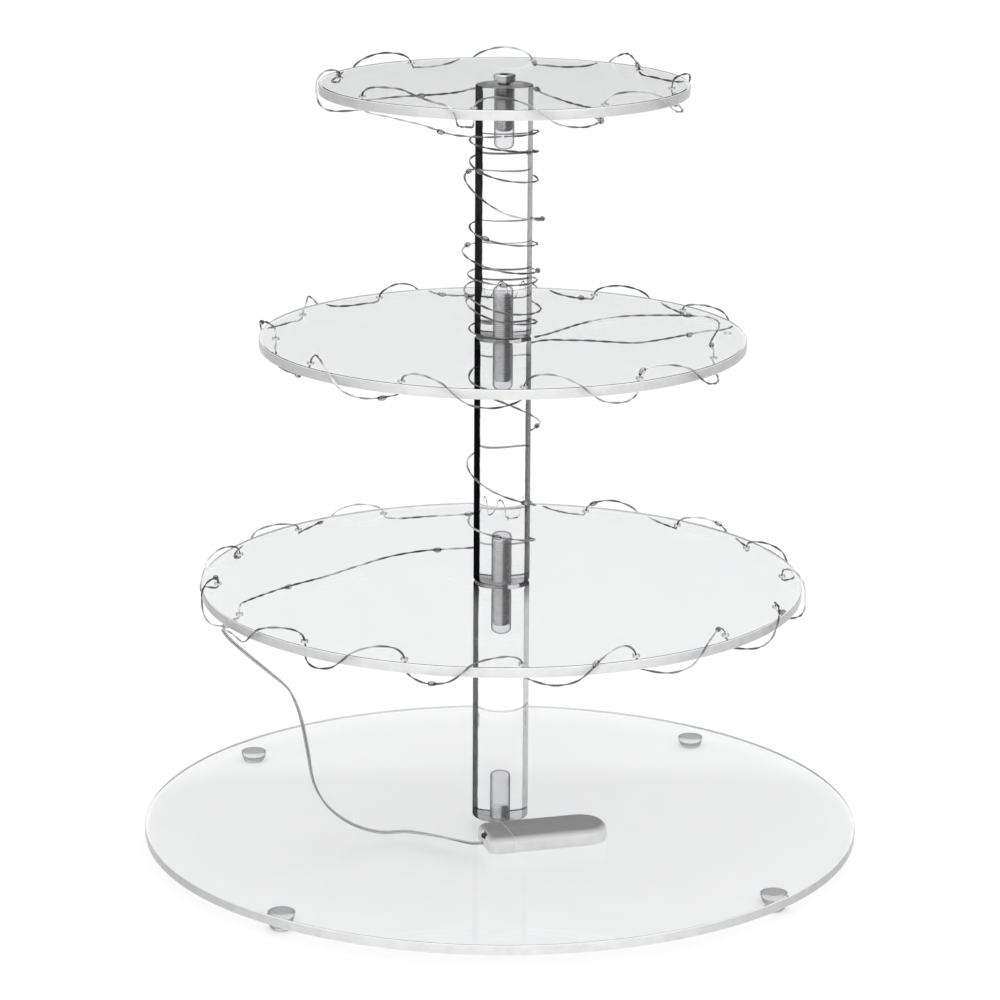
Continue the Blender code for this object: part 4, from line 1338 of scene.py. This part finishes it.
STRINGS = (
    ("lower_tier_string", lower_lace, 0.983, "object", LOWER_DROPS),
    ("lower_post_string", lower_post, 0.451, "object", POST_DROPS),
    ("middle_tier_string", middle_lace, 0.940, "object", MIDDLE_DROPS),
    ("upper_post_string", upper_post, 0.823, "object", UPPER_DROPS),
    ("top_tier_string", top_lace, 0.802, "fitting", TOP_DROPS),
)

lead_points = evenly(flowing(lead_route), STRAND_STEP)
lead = pair_of_strands("lead_wire_pair", lead_points, LEAD_DIAMETER, False, LEAD, "lead_wire")
for name, route, length, far_end, shares in STRINGS:
    points = evenly(flowing(route), STRAND_STEP)
    pair = pair_of_strands(name + "_twisted", points, WIRE_DIAMETER, True, WIRE, name)
    places = [round(share * (len(points) - 1)) for share in shares]
    lights = drops(name + "_lights", points, places)


# ---- floor, world and light
FLOOR_SIZE = 6.0
shape = bmesh.new()
bmesh.ops.create_grid(shape, x_segments=8, y_segments=8, size=FLOOR_SIZE / 2)
floor = finish_piece("floor", shape, [floor_white()], body=None)

SKY_TOP = 1.4
# The soft white room by height: (sine of the elevation, brightness). Below the horizon it is as
# white as the floor, and the camera itself sees plain white.
SKY = (
    (0.0, 1.00), (0.01, 0.10), (0.156, 0.11), (0.208, 0.14), (0.250, 0.12), (0.298, 0.14),
    (0.306, 0.80), (0.3255, 0.90), (0.3265, 0.35), (0.438, 0.40), (0.500, 0.60), (0.707, 1.00),
    (1.0, 1.30),
)
sky = Graph("studio", bpy.data.worlds)
bpy.context.scene.world = sky.owner
height = sky.axis(sky.add("TexCoord").outputs["Generated"], "Z")
shade = sky.ramp(height, [(place, brightness / SKY_TOP) for place, brightness in SKY])
room = sky.add("Background", {"Color": shade, "Strength": SKY_TOP}).outputs[0]
backdrop = sky.add("Background", {"Color": (1.0, 1.0, 1.0, 1.0)}).outputs[0]
seen = sky.add("LightPath").outputs["Is Camera Ray"]
sky.add("OutputWorld", {"Surface": sky.mix(seen, room, backdrop)})

SUN_STRENGTH = 1.05
SUN_WIDTH = 70.0
SUN_TILT = (12.0, 8.0, 0.0)
overhead_data = bpy.data.lights.new("overhead", "SUN")
overhead_data.energy = SUN_STRENGTH
overhead_data.angle = math.radians(SUN_WIDTH)
overhead = bpy.data.objects.new("overhead", overhead_data)
bpy.context.scene.collection.objects.link(overhead)
overhead.rotation_euler = [math.radians(tilt) for tilt in SUN_TILT]

scene = bpy.context.scene
scene.view_settings.view_transform = "Standard"
scene.view_settings.look = "None"
# A ray passes many clear faces before it leaves the stand.
CLEAR_BOUNCES = 32
scene.cycles.max_bounces = CLEAR_BOUNCES
scene.cycles.transmission_bounces = CLEAR_BOUNCES
scene.cycles.transparent_max_bounces = CLEAR_BOUNCES
scene.cycles.glossy_bounces = 16
scene.cycles.diffuse_bounces = 3
scene.cycles.use_denoising = True
scene.cycles.caustics_reflective = False
scene.cycles.caustics_refractive = True
